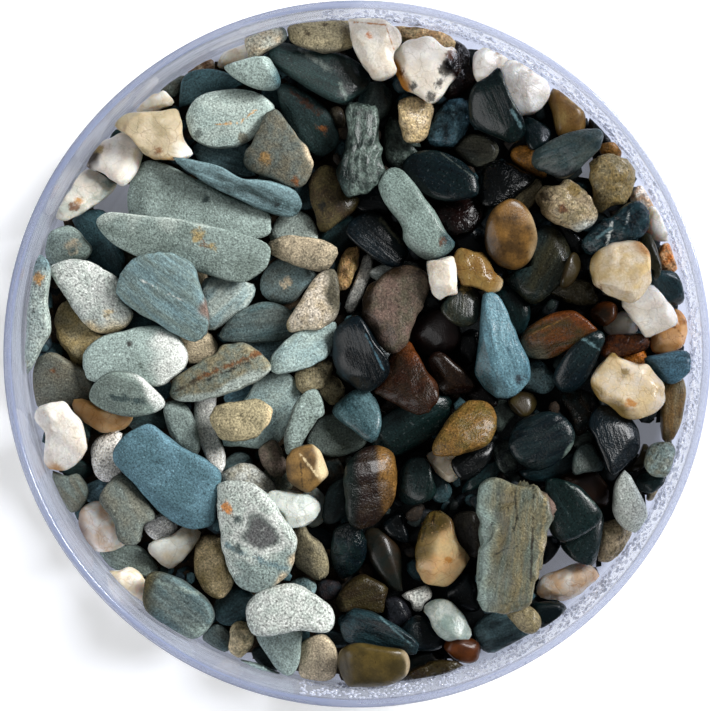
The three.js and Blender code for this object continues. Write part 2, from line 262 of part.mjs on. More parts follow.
// The small stones, lowest first: thickness, how square the edge is, and the outline
const BED_STONES = [
  [2.8, 2.3, [[30.8, 31.1], [31.6, 30.7], [32.5, 29.7], [33.3, 28.8], [34, 27.7], [33.2, 27.1],
    [31.9, 27.5], [30.8, 28.4], [30.3, 29.9]]],
  [2.4, 2.6, [[-42.6, 16.4], [-41.4, 16.8], [-40.6, 15.6], [-41.2, 14.3], [-42.3, 14.8]]],
  [2.8, 2.4, [[35.3, -15.2], [36.8, -13.6], [37.6, -11.8], [38.4, -12.9], [37.9, -14.4],
    [36.6, -15.5]]],
  [2.4, 2.3, [[-3.8, 32], [-2.5, 32.3], [-1.8, 31], [-2, 29.7], [-3.1, 29.7], [-3.8, 31]]],
  [2.8, 2.4, [[37.9, -19.1], [38.7, -17.3], [40.5, -16.6], [40.4, -18.3], [39.1, -19.5]]],
  [2.6, 2.3, [[-26.2, 34.8], [-25.5, 35.9], [-24.2, 36.6], [-22.9, 36.6], [-23.4, 34.4],
    [-24.7, 33.6]]],
  [2.6, 2.3, [[28, -11.5], [28.8, -10], [30.6, -10.5], [30.5, -11.8], [29, -12.5]]],
  [2.6, 2.3, [[-18.2, -15.5], [-16.9, -13.6], [-15.1, -13.1], [-14, -14.2], [-14.5, -15.5],
    [-16.6, -16.2]]],
  [2.6, 2.3, [[7.9, 7.2], [9.5, 8.3], [11, 7.2], [11.3, 5.7], [9.5, 4.9], [8.2, 5.7]]],
  [2.8, 2.3, [[21.2, -15.2], [24.5, -14.7], [27.1, -13.2], [28.6, -12.9], [28.6, -14.2], [27.7, -16],
    [25.1, -16.8], [22.5, -16.5]]],
  [3.2, 2.3, [[39.3, 12.7], [39.9, 14.3], [41.4, 14.7], [42.5, 13.1], [42.1, 11.2], [40.8, 10.6],
    [39.6, 11.3]]],
  [2.8, 2.3, [[-20.5, -37.4], [-18.6, -35.8], [-17, -37.1], [-17.2, -39.3], [-18.9, -40.4],
    [-20.3, -39.5]]],
  [2.8, 2.3, [[5.3, -40.2], [7.1, -39.2], [9.7, -39.2], [11.3, -40.5], [8.7, -42.1], [6.1, -41.8]]],
  [3, 2.3, [[-0.7, 20.5], [1.9, 21.8], [3.5, 21.3], [4.5, 19], [2.7, 17.9], [0.1, 18.7]]],
  [2.6, 2.4, [[-4.9, -13.4], [-3.1, -13.6], [-1.8, -15.5], [-2.8, -17], [-4.4, -16.8]]],
  [2.6, 2.6, [[-22.8, 37.5], [-21.9, 38.3], [-21.1, 38.9], [-20.2, 39.2], [-19.4, 38.9], [-19, 38],
    [-19, 36.7], [-20.5, 36.5], [-22.1, 36.7]]],
  [2.6, 2.3, [[-27.3, -4], [-25.8, -3.2], [-24.5, -4.8], [-25.5, -6.1], [-27.1, -5.5]]],
  [2.4, 2.4, [[-8.2, -36.7], [-6.7, -36.3], [-6.5, -38], [-7.8, -38.8]]],
  [2.8, 2.3, [[-12.5, 34.6], [-10.6, 34.9], [-9.6, 33.6], [-9.8, 32.3], [-11.4, 32.2], [-12.5, 33.3]]],
  [3, 2.3, [[12.3, 41], [14, 40.2], [14.7, 38.9], [15.2, 37], [15.2, 35.7], [14, 34.4], [12.1, 33.5],
    [11.5, 35.7], [13.1, 38.3]]],
  [2.8, 2.3, [[-14, -39.5], [-11.9, -38.7], [-10.4, -40.2], [-10.6, -41.8], [-12.7, -41.5]]],
  [3, 2.3, [[11.8, -31.1], [13.9, -28.8], [15.5, -30.6], [16, -33.5], [14.2, -34], [12.1, -32.9]]],
  [2.6, 2.3, [[25.8, 17.2], [27.5, 16.6], [29.4, 14.8], [29.8, 13.2], [28, 13.2], [26.7, 15.1]]],
  [2.8, 2.3, [[-7.1, -23.4], [-5.2, -23], [-3.6, -23.8], [-3.3, -25.4], [-4.6, -25.9], [-6.5, -25.1]]],
  [2.6, 2.4, [[-12.5, -15.7], [-10.1, -15.5], [-8.5, -17], [-9.3, -18.3], [-11.7, -18.1]]],
  [3.2, 2.3, [[-23.9, 1.8], [-20.8, 3.1], [-19.2, 2], [-18.6, 0.5], [-19.9, -0.8], [-21.9, -1.4],
    [-23.2, -0.6]]],
  [2.8, 2.5, [[12.6, -21.7], [14.4, -20.9], [16, -21.7], [16.2, -24.6], [15.5, -26.9], [13.6, -25.6],
    [12.8, -23.5]]],
  [2.6, 2.3, [[-17.7, -5.8], [-16.4, -4.5], [-13.8, -4.2], [-13.2, -5.3], [-14.8, -6.6],
    [-16.9, -6.9]]],
  [3, 2.3, [[-18.7, -32.7], [-16.6, -30.9], [-14, -32.2], [-14, -34.5], [-15.6, -35.7], [-17.7, -35.8],
    [-18.7, -34.8]]],
  [2.8, 2.3, [[12.3, 15.8], [14.9, 16.6], [16.8, 15.3], [16.5, 11.9], [14.4, 11.9], [12.6, 13.5]]],
  [3, 2.3, [[-5.4, 15.3], [-3.3, 17.4], [-0.7, 17.9], [0.1, 15.3], [-2, 13.5], [-4.1, 13.8]]],
  [2.6, 2.3, [[-30.7, -8.4], [-27.6, -7.6], [-25, -7.9], [-24.7, -9.7], [-27.1, -10.2],
    [-29.4, -10.2]]],
  [2.6, 2.4, [[-5.8, -30.9], [-4.1, -29.9], [-2.3, -30.5], [-2.8, -32.2], [-4.6, -32.7]]],
  [2.6, 2.6, [[17.8, -6.6], [19.4, -6.3], [20.7, -7.6], [19.6, -9.2], [18.6, -10.5], [17.8, -8.9]]],
  [2.8, 2.3, [[2.7, -6.1], [5, -5.8], [6.1, -7.1], [4.8, -8.2], [2.9, -7.6]]],
  [2.8, 2.4, [[34, -0.5], [35.4, 0.6], [36.8, 0.7], [37.8, -0.2], [37.6, -1.6], [36.1, -2.2],
    [34.5, -1.6]]],
  [2.8, 2.3, [[-8.5, 21.6], [-6.7, 22.6], [-5.4, 21.3], [-5.9, 19.2], [-7.8, 19]]],
  [2.6, 2.4, [[-33.1, 10.1], [-31.5, 10.1], [-30.7, 8], [-30.5, 6.2], [-32, 6.5], [-32.8, 8.3]]],
  [2.8, 2.3, [[-32.8, 2], [-32, 4.1], [-29.7, 5.2], [-26.8, 4.1], [-25.8, 2.8], [-28.4, 1.5],
    [-31.2, 1.2]]],
  [2.6, 2.3, [[-39.1, -15.7], [-37, -14.2], [-35.4, -15.2], [-35.7, -16.5], [-37.5, -16.8]]],
  [2.8, 2.3, [[-14.9, 1.5], [-11.7, 2.3], [-8.8, 1.8], [-9.8, -0.1], [-11.7, -1.4], [-13.8, -0.3]]],
  [2.8, 2.3, [[20.2, 26.4], [21.1, 27.2], [23, 26.8], [24.6, 24.5], [24.5, 22.9], [22.2, 23.9],
    [20.4, 25.2]]],
  [2.6, 2.4, [[-22.1, 10.9], [-20.5, 11.2], [-19.8, 9.1], [-20.5, 7], [-21.9, 8]]],
  [2.6, 2.4, [[-31.2, 13.2], [-28.9, 13.5], [-28.1, 12.5], [-29.2, 10.9], [-30.7, 11.7]]],
  [2.8, 2.3, [[-34.6, -26.7], [-32.3, -25.1], [-29.3, -25.5], [-27.5, -27.2], [-26.5, -28.8],
    [-28.1, -29.5], [-31.5, -28.8]]],
  [2.8, 2.5, [[3.5, -32.7], [5.5, -32.4], [7, -34], [6.6, -35.5], [4.2, -36.3], [3.5, -34.8]]],
  [3, 2.8, [[32, 3.5], [33.2, 4.6], [35, 5.5], [36.3, 4.1], [36.6, 2.8], [34.5, 2.2], [32.8, 2.3]]],
  [2.8, 2.4, [[-21.1, 27.6], [-14.7, 27.8], [-14.5, 24.6], [-13.4, 23.7], [-15.6, 23.3], [-18.6, 24.2],
    [-20.8, 25.2]]],
  [2.8, 2.3, [[12.8, 1.5], [14.7, 3.1], [16.2, 2.3], [16, -0.3], [14.2, -1.6], [12.8, -0.3]]],
  [2.8, 2.4, [[9.5, -15.7], [11.3, -16.5], [12.3, -18.1], [11.5, -19.6], [10, -19.4], [9.2, -17.5]]],
  [2.8, 2.3, [[-36.2, -17.8], [-34.6, -16.8], [-32.9, -16.8], [-33.1, -18.6], [-34.6, -19.9],
    [-35.9, -19.4]]],
  [2.8, 2.4, [[35.7, 20.4], [36.8, 22.1], [38, 22], [38.9, 20.4], [38.8, 19.1], [36.8, 19]]],
  [2.6, 2.4, [[-5.9, -37.4], [-3.6, -36.6], [-1.2, -37.5], [-1.8, -38.7], [-4.1, -38.7]]],
  [2.6, 2.4, [[13.6, -18.3], [14.7, -16.5], [16.5, -14.9], [18.3, -14.2], [18.8, -15.2], [17.5, -16.8],
    [15.5, -17.8]]],
  [3.2, 2.3, [[26.4, -16.5], [28, -15.5], [30.6, -15.3], [32.2, -16.8], [33.1, -18.3], [32.4, -20.2],
    [30.6, -20.2], [28.2, -19.1]]],
  [3, 2.3, [[-37.6, 17.5], [-35.9, 18.5], [-33.6, 18.6], [-32.3, 17.2], [-31, 13.8], [-30.6, 11.9],
    [-31.5, 9.8], [-33.6, 11.2], [-35.7, 12.7], [-36.5, 15.3]]],
  [3.2, 2.6, [[3.8, 43.4], [4.9, 43.5], [6.8, 43.2], [8.8, 43.5], [10.4, 43.4], [11.7, 42.6],
    [12.5, 41.4], [13, 40.2], [11.4, 39.7], [9.5, 40.4], [6.8, 40.4], [5.5, 40.9]]],
  [3, 2.8, [[15.1, 38.7], [16, 39.8], [16.9, 40], [18.2, 39.3], [19.5, 38.5], [19.1, 37], [17.5, 35.7],
    [16, 35.2], [15.2, 36.3]]],
  [2.6, 2.4, [[14.2, -5], [16, -4], [17.5, -4.8], [18.3, -6.6], [17, -7.1], [14.9, -6.3]]],
  [3, 2.3, [[21.5, 31], [24.8, 29.4], [24.8, 27.8], [23, 26.5], [22, 27.6]]],
  [3.2, 2.3, [[6.6, 2.8], [8.4, 4.9], [10.8, 5.7], [12.8, 4.1], [13.4, 1.8], [11.5, -0.1], [8.7, -0.6],
    [6.8, 1]]],
  [2.6, 2.4, [[-9.1, -30.5], [-7, -29.5], [-5.5, -30.6], [-6.2, -32.2], [-8, -32.2]]],
  [2.8, 2.3, [[17.8, -12.3], [19.6, -11.5], [21.2, -12.6], [21.5, -14.9], [19.4, -15.7],
    [18.1, -14.4]]],
  [3, 2.3, [[5.8, -36.1], [7.6, -34.5], [9.7, -35.3], [11.5, -37.4], [10.5, -38.9], [7.6, -38.9],
    [5.8, -37.9]]],
  [3, 2.8, [[37.8, 19], [39.5, 19.2], [40.8, 16.6], [40.9, 14.8], [38.4, 15.1], [37.6, 16.9]]],
  [2.6, 2.6, [[31.6, 27.2], [33.2, 27.5], [34.5, 27.2], [34.6, 26.5], [34, 25.4], [31.9, 25.8]]],
  [2.6, 2.4, [[36.3, -16.5], [37.6, -15.5], [40.2, -16], [40.5, -17.3], [38.4, -18.1], [36.8, -17.8]]],
  [2.8, 2.4, [[31.6, 0.1], [32.4, 2.2], [34.9, 2.5], [37.5, 2.3], [37.9, 0.7], [35.8, -0.1],
    [33.2, -0.6]]],
  [3, 2.2, [[-5, -4.7], [-4, -3.1], [-2.5, -3.5], [-1.8, -4.9], [-2.2, -6.1], [-3.5, -6.9],
    [-4.7, -5.8]]],
  [3.8, 2.3, [[40.4, -3.4], [41.6, -2.9], [42.6, -3.5], [43.1, -5.7], [42.7, -8.2], [41.8, -10.2],
    [40.8, -11.7], [40, -11.1], [39.8, -8.6], [39.8, -5.7]]],
  [3, 2.3, [[-1.7, 5.8], [-1.4, 7.4], [-0.1, 10.4], [0.9, 13.1], [1.7, 12.7], [1.8, 10.7], [0.9, 8.3],
    [-0.3, 5.9], [-1, 5.4]]],
  [3, 2.3, [[-28.2, -23.1], [-27.2, -21.9], [-25.8, -21.2], [-24.2, -22.3], [-24.1, -23.3],
    [-24.9, -24.2], [-26.8, -24.7]]],
  [3.6, 2.2, [[25.9, 34.8], [26.6, 34.7], [27.7, 34.1], [28.9, 33.1], [29.5, 31.9], [29.7, 30.6],
    [29.4, 29], [27.9, 28.7], [26.3, 28.5], [25.8, 29.6], [25.4, 31.6], [24.9, 33.1], [25.3, 34.4]]],
  [3.6, 2.3, [[-12.8, 8.8], [-12.4, 10.5], [-10.7, 12.3], [-8.7, 12.8], [-6.9, 11.9], [-5.6, 10.4],
    [-7.4, 8], [-8.8, 6.6], [-10.6, 6.6], [-12.2, 7.4]]],
  [3.2, 2.4, [[15.2, -36.5], [17, -34.6], [19.8, -33.4], [21.8, -34.7], [23.7, -35], [24.1, -35.8],
    [22.9, -36.8], [20, -38.6], [17.6, -39.4], [16.2, -38.7]]],
  [3, 2.3, [[18.1, 7.9], [19.6, 8.8], [21.1, 8.3], [22.4, 6.3], [22.4, 4.4], [21.1, 2.1], [19.3, 4.1]]],
  [3.2, 2.2, [[12.7, 26.7], [13.3, 27.7], [14.6, 28.6], [16.6, 28.5], [17.9, 27.7], [18.4, 26.7],
    [17.9, 25.5], [16.6, 24.6], [15.3, 24.5], [14, 25.4]]],
  [3, 2.4, [[24.1, -24.7], [25.8, -24.1], [26.6, -25.1], [25.5, -26.9], [24.1, -27.7]]],
  [3, 2.6, [[21.6, -4.3], [22.2, -1.6], [23.6, -0.9], [25.5, -2.6], [26, -3.8], [25.5, -4.8],
    [24.4, -5.4], [22.4, -4.9]]],
  [3.4, 2.4, [[-39.9, 4.1], [-39.6, 5.8], [-38.3, 6.9], [-36.4, 4.9], [-34.6, 2.8], [-32.9, 1.8],
    [-34.8, 0.2], [-35.7, -1.3], [-37.3, -1.7], [-38.2, -0.1], [-39.5, 1.8]]],
  [3, 2.4, [[3.2, -22.8], [4.8, -21], [5.8, -21.1], [6.5, -23.1], [6.6, -24.9], [5.1, -24.6]]],
  [2.8, 3, [[5.8, -32], [7.3, -31.2], [9.1, -30.7], [9.8, -32], [8.7, -33], [8.3, -33.9], [7.3, -33.9],
    [6.9, -32.8]]],
  [2.8, 2.3, [[19.6, 20.1], [21, 21.9], [22.9, 22.8], [24, 22.3], [23.7, 20.8], [22.4, 19],
    [20.9, 18.9]]],
  [3, 2.3, [[24.7, 8.3], [26.8, 9.2], [28.6, 9.8], [30.2, 9.4], [31.3, 8], [31.5, 6.7], [29.9, 6.2],
    [27.9, 6.7]]],
  [3, 2.5, [[3.4, 29.3], [4, 30.6], [4.9, 31.1], [5.8, 28.2], [7.1, 27.2], [8.6, 26.4], [7.1, 25.4],
    [5.6, 24.5], [4, 25.1], [3.4, 27.3]]],
  [3.6, 2.7, [[38.5, 1.5], [38.9, 3.2], [40.8, 4.3], [41.4, 5.8], [42.7, 4.9], [43.7, 3.4], [43, 1.5],
    [41.8, 0.4], [39.8, -0.1], [38.6, 0.4]]],
  [3.4, 2.2, [[0.7, -24.1], [2.1, -23.1], [3.6, -23.8], [5.3, -25.9], [5.8, -27.9], [5.7, -29.8],
    [6.2, -31], [4.3, -31.1], [1.9, -27.7]]],
  [3.2, 2.4, [[31.5, -27.1], [31.9, -23.7], [32.5, -22.2], [34.1, -22.2], [36, -23.5], [35.5, -25.3],
    [34.1, -26.7], [32.3, -27.5]]],
  [3.6, 2.6, [[23.6, -31], [24.4, -29.4], [26.6, -28.5], [28.9, -27.6], [30.4, -27.6], [31.9, -29.3],
    [30.4, -30.6], [27.9, -32.3], [25.4, -32.6], [24, -32.3]]],
  [3.2, 2.7, [[-18.6, 37.3], [-18.5, 38.3], [-18, 40.4], [-17.5, 41], [-16.2, 41.2], [-15.1, 41.2],
    [-14.5, 40.5], [-14.2, 39.4], [-14.4, 38.5], [-15.4, 38.1], [-16.7, 37.5]]],
  [3.4, 2.4, [[-6.6, -11.9], [-5.3, -8.9], [-3.6, -8.2], [-1.3, -8], [0.7, -8.9], [1.7, -10.5],
    [0.7, -12.3], [-1.3, -13.2], [-4, -13.3]]],
  [2.6, 2.3, [[-7, -18.1], [-5.4, -17.9], [-4.3, -19.2], [-4, -20.7], [-4.7, -22.3], [-6.1, -22.9],
    [-7.1, -21.5]]],
  [3, 2.4, [[-11.5, 14.8], [-11, 17.1], [-9.6, 18.5], [-7.9, 18.6], [-6.2, 17.7], [-5.3, 15.8],
    [-5.6, 14.5], [-8.4, 14.8]]],
  [3.2, 2.5, [[-19.9, 9.7], [-15.1, 9.4], [-13.6, 8.3], [-14.6, 6.2], [-16.4, 4.7], [-18.5, 3.2],
    [-19.7, 3.1], [-20.1, 7]]],
  [3.2, 2.3, [[-35.1, -12.8], [-34.3, -11.3], [-32.5, -10.5], [-31.2, -10.9], [-31.3, -13.1],
    [-30.9, -15.6], [-32.5, -16.8], [-33.5, -16.8], [-34.7, -15.6]]],
  [3.4, 2.4, [[9.2, 27.7], [9.7, 30.3], [10.8, 32], [12.1, 33.1], [13.6, 33.3], [14.6, 32.5],
    [14.6, 30.3], [14, 28.4], [12.7, 27.3], [11.7, 27.1], [10.1, 27.2]]],
  [3.8, 2.3, [[-21.5, -25.5], [-20.8, -24.5], [-19, -24.2], [-18.1, -24.9], [-17.1, -27.5],
    [-16.4, -29.8], [-17, -31.4], [-18.3, -32.3], [-19.8, -31.6], [-21.1, -29.8], [-21.5, -27.5]]],
  [3, 2.4, [[-21.6, -6.9], [-20.5, -5.7], [-18.6, -5.3], [-18.5, -7.1], [-19, -9.1], [-18.3, -11.1],
    [-17.5, -13.2], [-17.7, -15.3], [-18.9, -15.6], [-20.5, -12.4], [-21.4, -9.5]]],
  [3.6, 2.6, [[-42.6, -2.6], [-41.7, -0.5], [-39.8, 0], [-37.3, -1.8], [-35.6, -2.6], [-35.1, -5.6],
    [-37.3, -6.7], [-41.4, -7.5], [-42.5, -6.1]]],
  [3.2, 2.3, [[-23.2, 30.6], [-23.2, 33.4], [-22.9, 35.5], [-22.1, 36.5], [-20.8, 36.9], [-19, 37],
    [-17.1, 36.6], [-15.7, 35.9], [-15.1, 34.7], [-18.6, 33.8], [-20.6, 32.9], [-21.9, 31.3]]],
  [2.8, 2.3, [[1.4, 10.4], [2.7, 11.4], [5.1, 11.9], [7.4, 11.9], [8.2, 10.6], [6.1, 9.3], [3.5, 9.1]]],
  [3.2, 2.3, [[38.1, 9.7], [39.4, 10.7], [41.4, 10.5], [42.7, 8.8], [43.1, 7.4], [42.2, 6.5],
    [40.8, 6.3], [39.2, 7.2]]],
  [3.4, 2.6, [[26.7, -5.7], [28.9, -4.8], [30.7, -5.6], [31.1, -7.8], [29.3, -10.5], [28.2, -10.1],
    [27.7, -8.3]]],
  [3.2, 2.6, [[9.1, -13.3], [10.8, -12.8], [13.1, -13], [13.5, -14.8], [13, -16.3], [11.9, -16.8],
    [10.5, -15.8], [9.5, -14.5]]],
  [3.6, 2.4, [[-14.4, -5.6], [-12.6, -3.1], [-10, -2.6], [-8.4, -3.5], [-7.5, -5.3], [-7.8, -7.3],
    [-9.1, -9.5], [-10.4, -11.5], [-12.6, -12.3], [-15.1, -12.2], [-17.7, -11.4]]],
  [3, 2.7, [[-29.7, 32.5], [-29, 33.1], [-27.1, 34.2], [-26, 34.1], [-25.4, 34.4], [-24.7, 33.7],
    [-24.2, 32.6], [-25.5, 32.1], [-26.8, 31.5], [-28.5, 31.3], [-29.3, 31.7]]],
  [3.4, 2.4, [[2.1, -12.3], [3, -8.6], [5.6, -7], [10.6, -5.6], [12.1, -6.7], [11.4, -9.3],
    [8.3, -11.9], [4.7, -13.5]]],
  [3.2, 2.3, [[-2.8, 8.5], [-2.5, 11.3], [-1.4, 13.5], [-0.1, 14.1], [0.4, 13.7], [0.1, 11.8],
    [-0.5, 9.7], [-1.4, 8.4], [-2.3, 8.2]]],
  [3.2, 2.7, [[-27.2, -25], [-24.1, -23.8], [-22.8, -22.7], [-20.5, -22.9], [-21.1, -24.6],
    [-22.8, -26.8], [-24.6, -28.5], [-26.2, -27.6], [-27.1, -26.3]]],
  [3.2, 2.6, [[-2.8, -33.6], [-2.7, -32], [-0.9, -29.8], [0.7, -29.1], [2.3, -29.8], [3.9, -30.8],
    [3.5, -32.4], [3.1, -33.9], [0.7, -33.6], [-1.3, -33.9]]],
  [3.2, 2.5, [[-17, -39], [-16.7, -36.5], [-15.9, -35.1], [-14, -36.1], [-13.9, -38.3], [-14.8, -39.9],
    [-15.9, -40.2]]],
  [3.4, 2.3, [[-3.5, -25.5], [-3.1, -23.1], [-1.7, -22.2], [-0.1, -22.5], [0.9, -24.2], [0.9, -26.7],
    [-0.1, -28.6], [-1.7, -29.7], [-2.8, -29], [-3.5, -27.5]]],
  [3, 2.3, [[19.7, -6.2], [21.1, -5.1], [22.8, -5.4], [23.4, -6.6], [22.5, -8], [21.4, -8.3],
    [20.2, -7.4]]],
  [3.2, 2.2, [[19.3, 10.1], [22.4, 11.4], [22.9, 15.3], [24.5, 16.6], [26.3, 16.1], [27.7, 13.5],
    [27.6, 11.1], [25.6, 8.5], [23.2, 6.5], [21.4, 7.5]]],
  [3.2, 2.4, [[-10.4, 34.2], [-9.3, 35.2], [-7.4, 34.2], [-4.8, 32.5], [-3.5, 30.8], [-2.6, 28.7],
    [-2.7, 27.4], [-3.8, 26.4], [-5, 25.8], [-6.7, 26.7], [-8.4, 28.7], [-9.7, 30.9]]],
  [3.4, 2.4, [[9.8, 18.3], [10.8, 19.7], [13.3, 20.3], [15.4, 20.5], [16.6, 20.1], [15.9, 17.3],
    [14.6, 15.7], [12.4, 15.3], [10.8, 16.6]]],
  [3, 2.6, [[26.7, -24.5], [28.9, -23.5], [31.2, -21.9], [32.1, -21.1], [31.9, -23.1], [31.1, -27.1],
    [30.3, -27.6], [28.5, -27.1], [27.1, -25.9]]],
  [3.8, 2.5, [[5.3, 32.6], [5.7, 33.3], [7.1, 33.4], [8.7, 33.3], [9.6, 32.4], [9.7, 30.9], [9.3, 29.6],
    [9.1, 28.4], [8.2, 27.7], [6.9, 27.6], [6, 28.2], [5.7, 29.6], [5.4, 31.3]]],
  [3.4, 2.4, [[5.3, -16.8], [6.1, -14.5], [7.5, -13.6], [9.1, -14], [9.8, -16.3], [10.2, -18.3],
    [8.4, -19.4], [6.4, -19.7], [5.2, -18.4]]],
  [3, 2.4, [[-4.5, -21.9], [-4, -18.1], [-2.5, -16.6], [-0.9, -16.2], [0.5, -17], [-0.5, -19.6],
    [-2.5, -21.9]]],
  [3.8, 2.5, [[-7.6, -40.9], [-7.2, -38], [-4.8, -36.8], [-3.2, -38], [-2.7, -39.9], [-3.2, -42.5],
    [-5.3, -43.7], [-6.6, -43.7], [-7.6, -42.4]]],
  [3.2, 2.4, [[-40.8, -16.2], [-39.8, -15.6], [-38.3, -16.3], [-36.8, -15.9], [-35.5, -17.5],
    [-35.7, -19.2], [-36.8, -20.7], [-38.1, -20.9], [-39.2, -20.1], [-40.5, -17.8]]],
  [3.6, 2.9, [[-33.1, -28.5], [-31.6, -28.6], [-30, -28.1], [-28.6, -28.9], [-27.7, -30.4],
    [-27.5, -32], [-28, -33], [-29.8, -32.4], [-31.2, -31], [-32.5, -29.4]]],
  [4, 2.9, [[-36.8, -23.5], [-36.5, -21.1], [-35.5, -20], [-33.8, -19.6], [-32.5, -20.3],
    [-30.9, -21.6], [-30.3, -23.7], [-30.9, -25.3], [-32.8, -26], [-34.7, -25.9], [-36.1, -25]]],
  [3, 2.4, [[11.3, -38.2], [12.6, -36.9], [14.3, -37.2], [15.9, -38.2], [15.7, -40.9], [13.3, -40.4],
    [11.7, -39.1]]],
  [3.4, 2.3, [[-18.1, 2.2], [-16.7, 4.4], [-15.1, 5.7], [-12.4, 6.6], [-10.2, 6.2], [-8.4, 4.9],
    [-7.9, 3], [-9.8, 1.7], [-13.2, 1.4], [-15.8, 1.4]]],
  [3.4, 2.3, [[-25.4, -7.5], [-24.5, -6.4], [-23, -6.5], [-21.9, -7.9], [-21.1, -10.2], [-20.7, -12.4],
    [-21.6, -13.2], [-24, -11.4]]],
  [2.8, 2.3, [[30.4, 5.4], [31.5, 6.6], [33, 6.7], [33.9, 5.9], [33.7, 4.7], [32.3, 3.6], [30.8, 4.1]]],
  [3.2, 2.7, [[-37.3, -6.4], [-36.4, -6], [-35.1, -6.4], [-33.9, -7.1], [-32, -7.8], [-29.8, -8],
    [-30, -9.3], [-30.9, -10.2], [-33.8, -10.4], [-35.5, -9.3], [-36.9, -8.2]]],
  [3.2, 2.3, [[22.8, -32.8], [26.2, -32.6], [27.3, -33.4], [27.3, -34.6], [26.2, -35.6], [24.4, -36.4],
    [23.2, -34.7]]],
  [3.6, 2.8, [[18.8, 36.1], [19.4, 38.1], [20.9, 38.7], [22.4, 38.5], [23.3, 37.8], [24.4, 36.1],
    [24.9, 34.2], [24, 32.2], [22.4, 31.1], [21.4, 30.7], [20.5, 31.9], [19.6, 33.5]]],
  [3.4, 2.3, [[-18.1, -16.8], [-17, -15.3], [-14.5, -14.5], [-12.3, -15.6], [-10.7, -17.6],
    [-11.5, -19.4], [-15.1, -18.9]]],
  [3, 2.3, [[16.1, 22], [16.8, 24.5], [19, 25.2], [21.5, 23.8], [23.2, 22.8], [21.1, 21], [19, 19.4],
    [16.5, 19.5]]],
  [3.6, 2.5, [[-6.1, 20.1], [-6.1, 22.4], [-4.4, 24.5], [-2.2, 23.6], [-1.7, 21], [0.1, 20.3],
    [-0.5, 18.5], [-2.5, 17.1], [-4, 15.9], [-5, 16.1], [-5.4, 18.1]]],
  [3.4, 2.3, [[-8.7, -22.3], [-7.1, -22.4], [-6.3, -23.8], [-4.8, -25], [-3.9, -27.1], [-4, -28.9],
    [-5, -29.7], [-6.6, -29], [-8, -28], [-8.7, -25.1]]],
  [3, 2.5, [[-12.8, -12.4], [-11, -11.4], [-9.8, -13.1], [-9.4, -15.3], [-10.6, -16.2], [-11.8, -15.3],
    [-12.7, -13.7]]],
  [3.6, 2.8, [[30.3, 25.4], [32.1, 25.9], [34.1, 25.5], [36.8, 24.5], [36, 22], [35.2, 20.1],
    [32.9, 19.4], [32.3, 18.6], [30.8, 18.6], [30.7, 21.1], [30.4, 23.7]]],
  [3, 2.8, [[-8.2, -3.1], [-7.2, -2], [-3.9, -0.8], [-3.2, -1.6], [-3.5, -2.6], [-4.3, -4.2],
    [-5.7, -4.8], [-7.2, -5.2]]],
  [3.6, 2.3, [[-1.3, 16.1], [-0.1, 17.7], [1.7, 18.4], [3.5, 17.7], [5.3, 15.3], [6.5, 13.7],
    [6.2, 12.6], [5.3, 11.3], [3.1, 11.9], [-0.1, 14.2]]],
  [3.2, 2.4, [[37.4, -0.9], [39.4, -0.1], [41.8, 0.4], [43.1, 0], [43.5, -1.6], [42.7, -2.7],
    [40.4, -3.8]]],
  [3.4, 2.3, [[-40.9, 15.3], [-39.9, 16.1], [-37.9, 16.7], [-36.4, 15.9], [-35.5, 14.8], [-34.7, 13.7],
    [-35.5, 12.3], [-37.3, 11.8], [-39.8, 11.5], [-40.9, 12.9]]],
  [3.2, 2.3, [[9.2, -0.8], [10.8, 0.2], [12.8, -1.3], [14.6, -3], [15.3, -4.2], [14, -5.1],
    [11.4, -5.2], [10.2, -3.9]]],
  [2.4, 2.4, [[-16.1, -40.5], [-13.9, -40.5], [-11.3, -41.6], [-8.8, -42.9], [-9.6, -43.3],
    [-12.3, -42.6], [-14.5, -42]]],
  [3.6, 2.4, [[33.4, -19.2], [33.7, -17], [34.8, -15.2], [36, -16.7], [37, -18.8], [38.1, -21.5],
    [37.6, -22.7], [36.3, -23.3], [34.5, -22.5], [33.4, -20.7]]],
  [3.4, 2.5, [[-13.3, -37], [-11.3, -36], [-7.6, -36], [-7.4, -38], [-7.6, -40.3], [-8.7, -42],
    [-10.2, -41.6], [-11.5, -39.8]]],
  [3, 2.6, [[4.9, -43.1], [6.2, -42], [9.6, -40.3], [12.6, -40.2], [13.7, -40.9], [11.7, -42.4],
    [9.2, -43.3], [6.6, -43.7]]],
  [3, 2.5, [[28.1, -13.5], [28.9, -12.1], [30.4, -11.8], [31.5, -13.5], [32, -15], [29.7, -15.4],
    [28.1, -15.6]]],
  [3.8, 2.3, [[37.6, -12.8], [38.6, -11.7], [40.8, -11.7], [41.7, -13.2], [41.4, -15], [39.9, -15.8],
    [38.5, -15.7], [37.4, -14.5]]],
  [3, 2.3, [[12.3, -14], [14.6, -12.4], [16.5, -11.7], [17.7, -11.1], [17.6, -12.7], [16.8, -14.5],
    [15.4, -15.9], [13.6, -16.3]]],
  [3.2, 2.5, [[-11.5, 13.1], [-11, 14.6], [-8.7, 15.3], [-5.3, 14.9], [-2.7, 13.7], [-2.8, 12.3],
    [-4, 11], [-6.1, 10.9]]],
  [3.4, 2.3, [[-3.2, -7.8], [-2.1, -6.1], [-0.1, -4.9], [1.9, -5.3], [2.9, -7.3], [3, -9.7],
    [1.9, -11.5], [-0.6, -9.9]]],
  [2.6, 2.4, [[36.7, 14.5], [37.7, 15.7], [38.3, 15], [39.1, 12.7], [39.4, 10.9], [38.5, 9.6],
    [37.8, 11.9]]],
  [3.2, 2.3, [[11, 5.9], [12.1, 7.6], [13.1, 9.1], [14.6, 9.2], [15.5, 8], [15.9, 6.2], [15.5, 4.4],
    [14, 3.6], [12.3, 4.3]]],
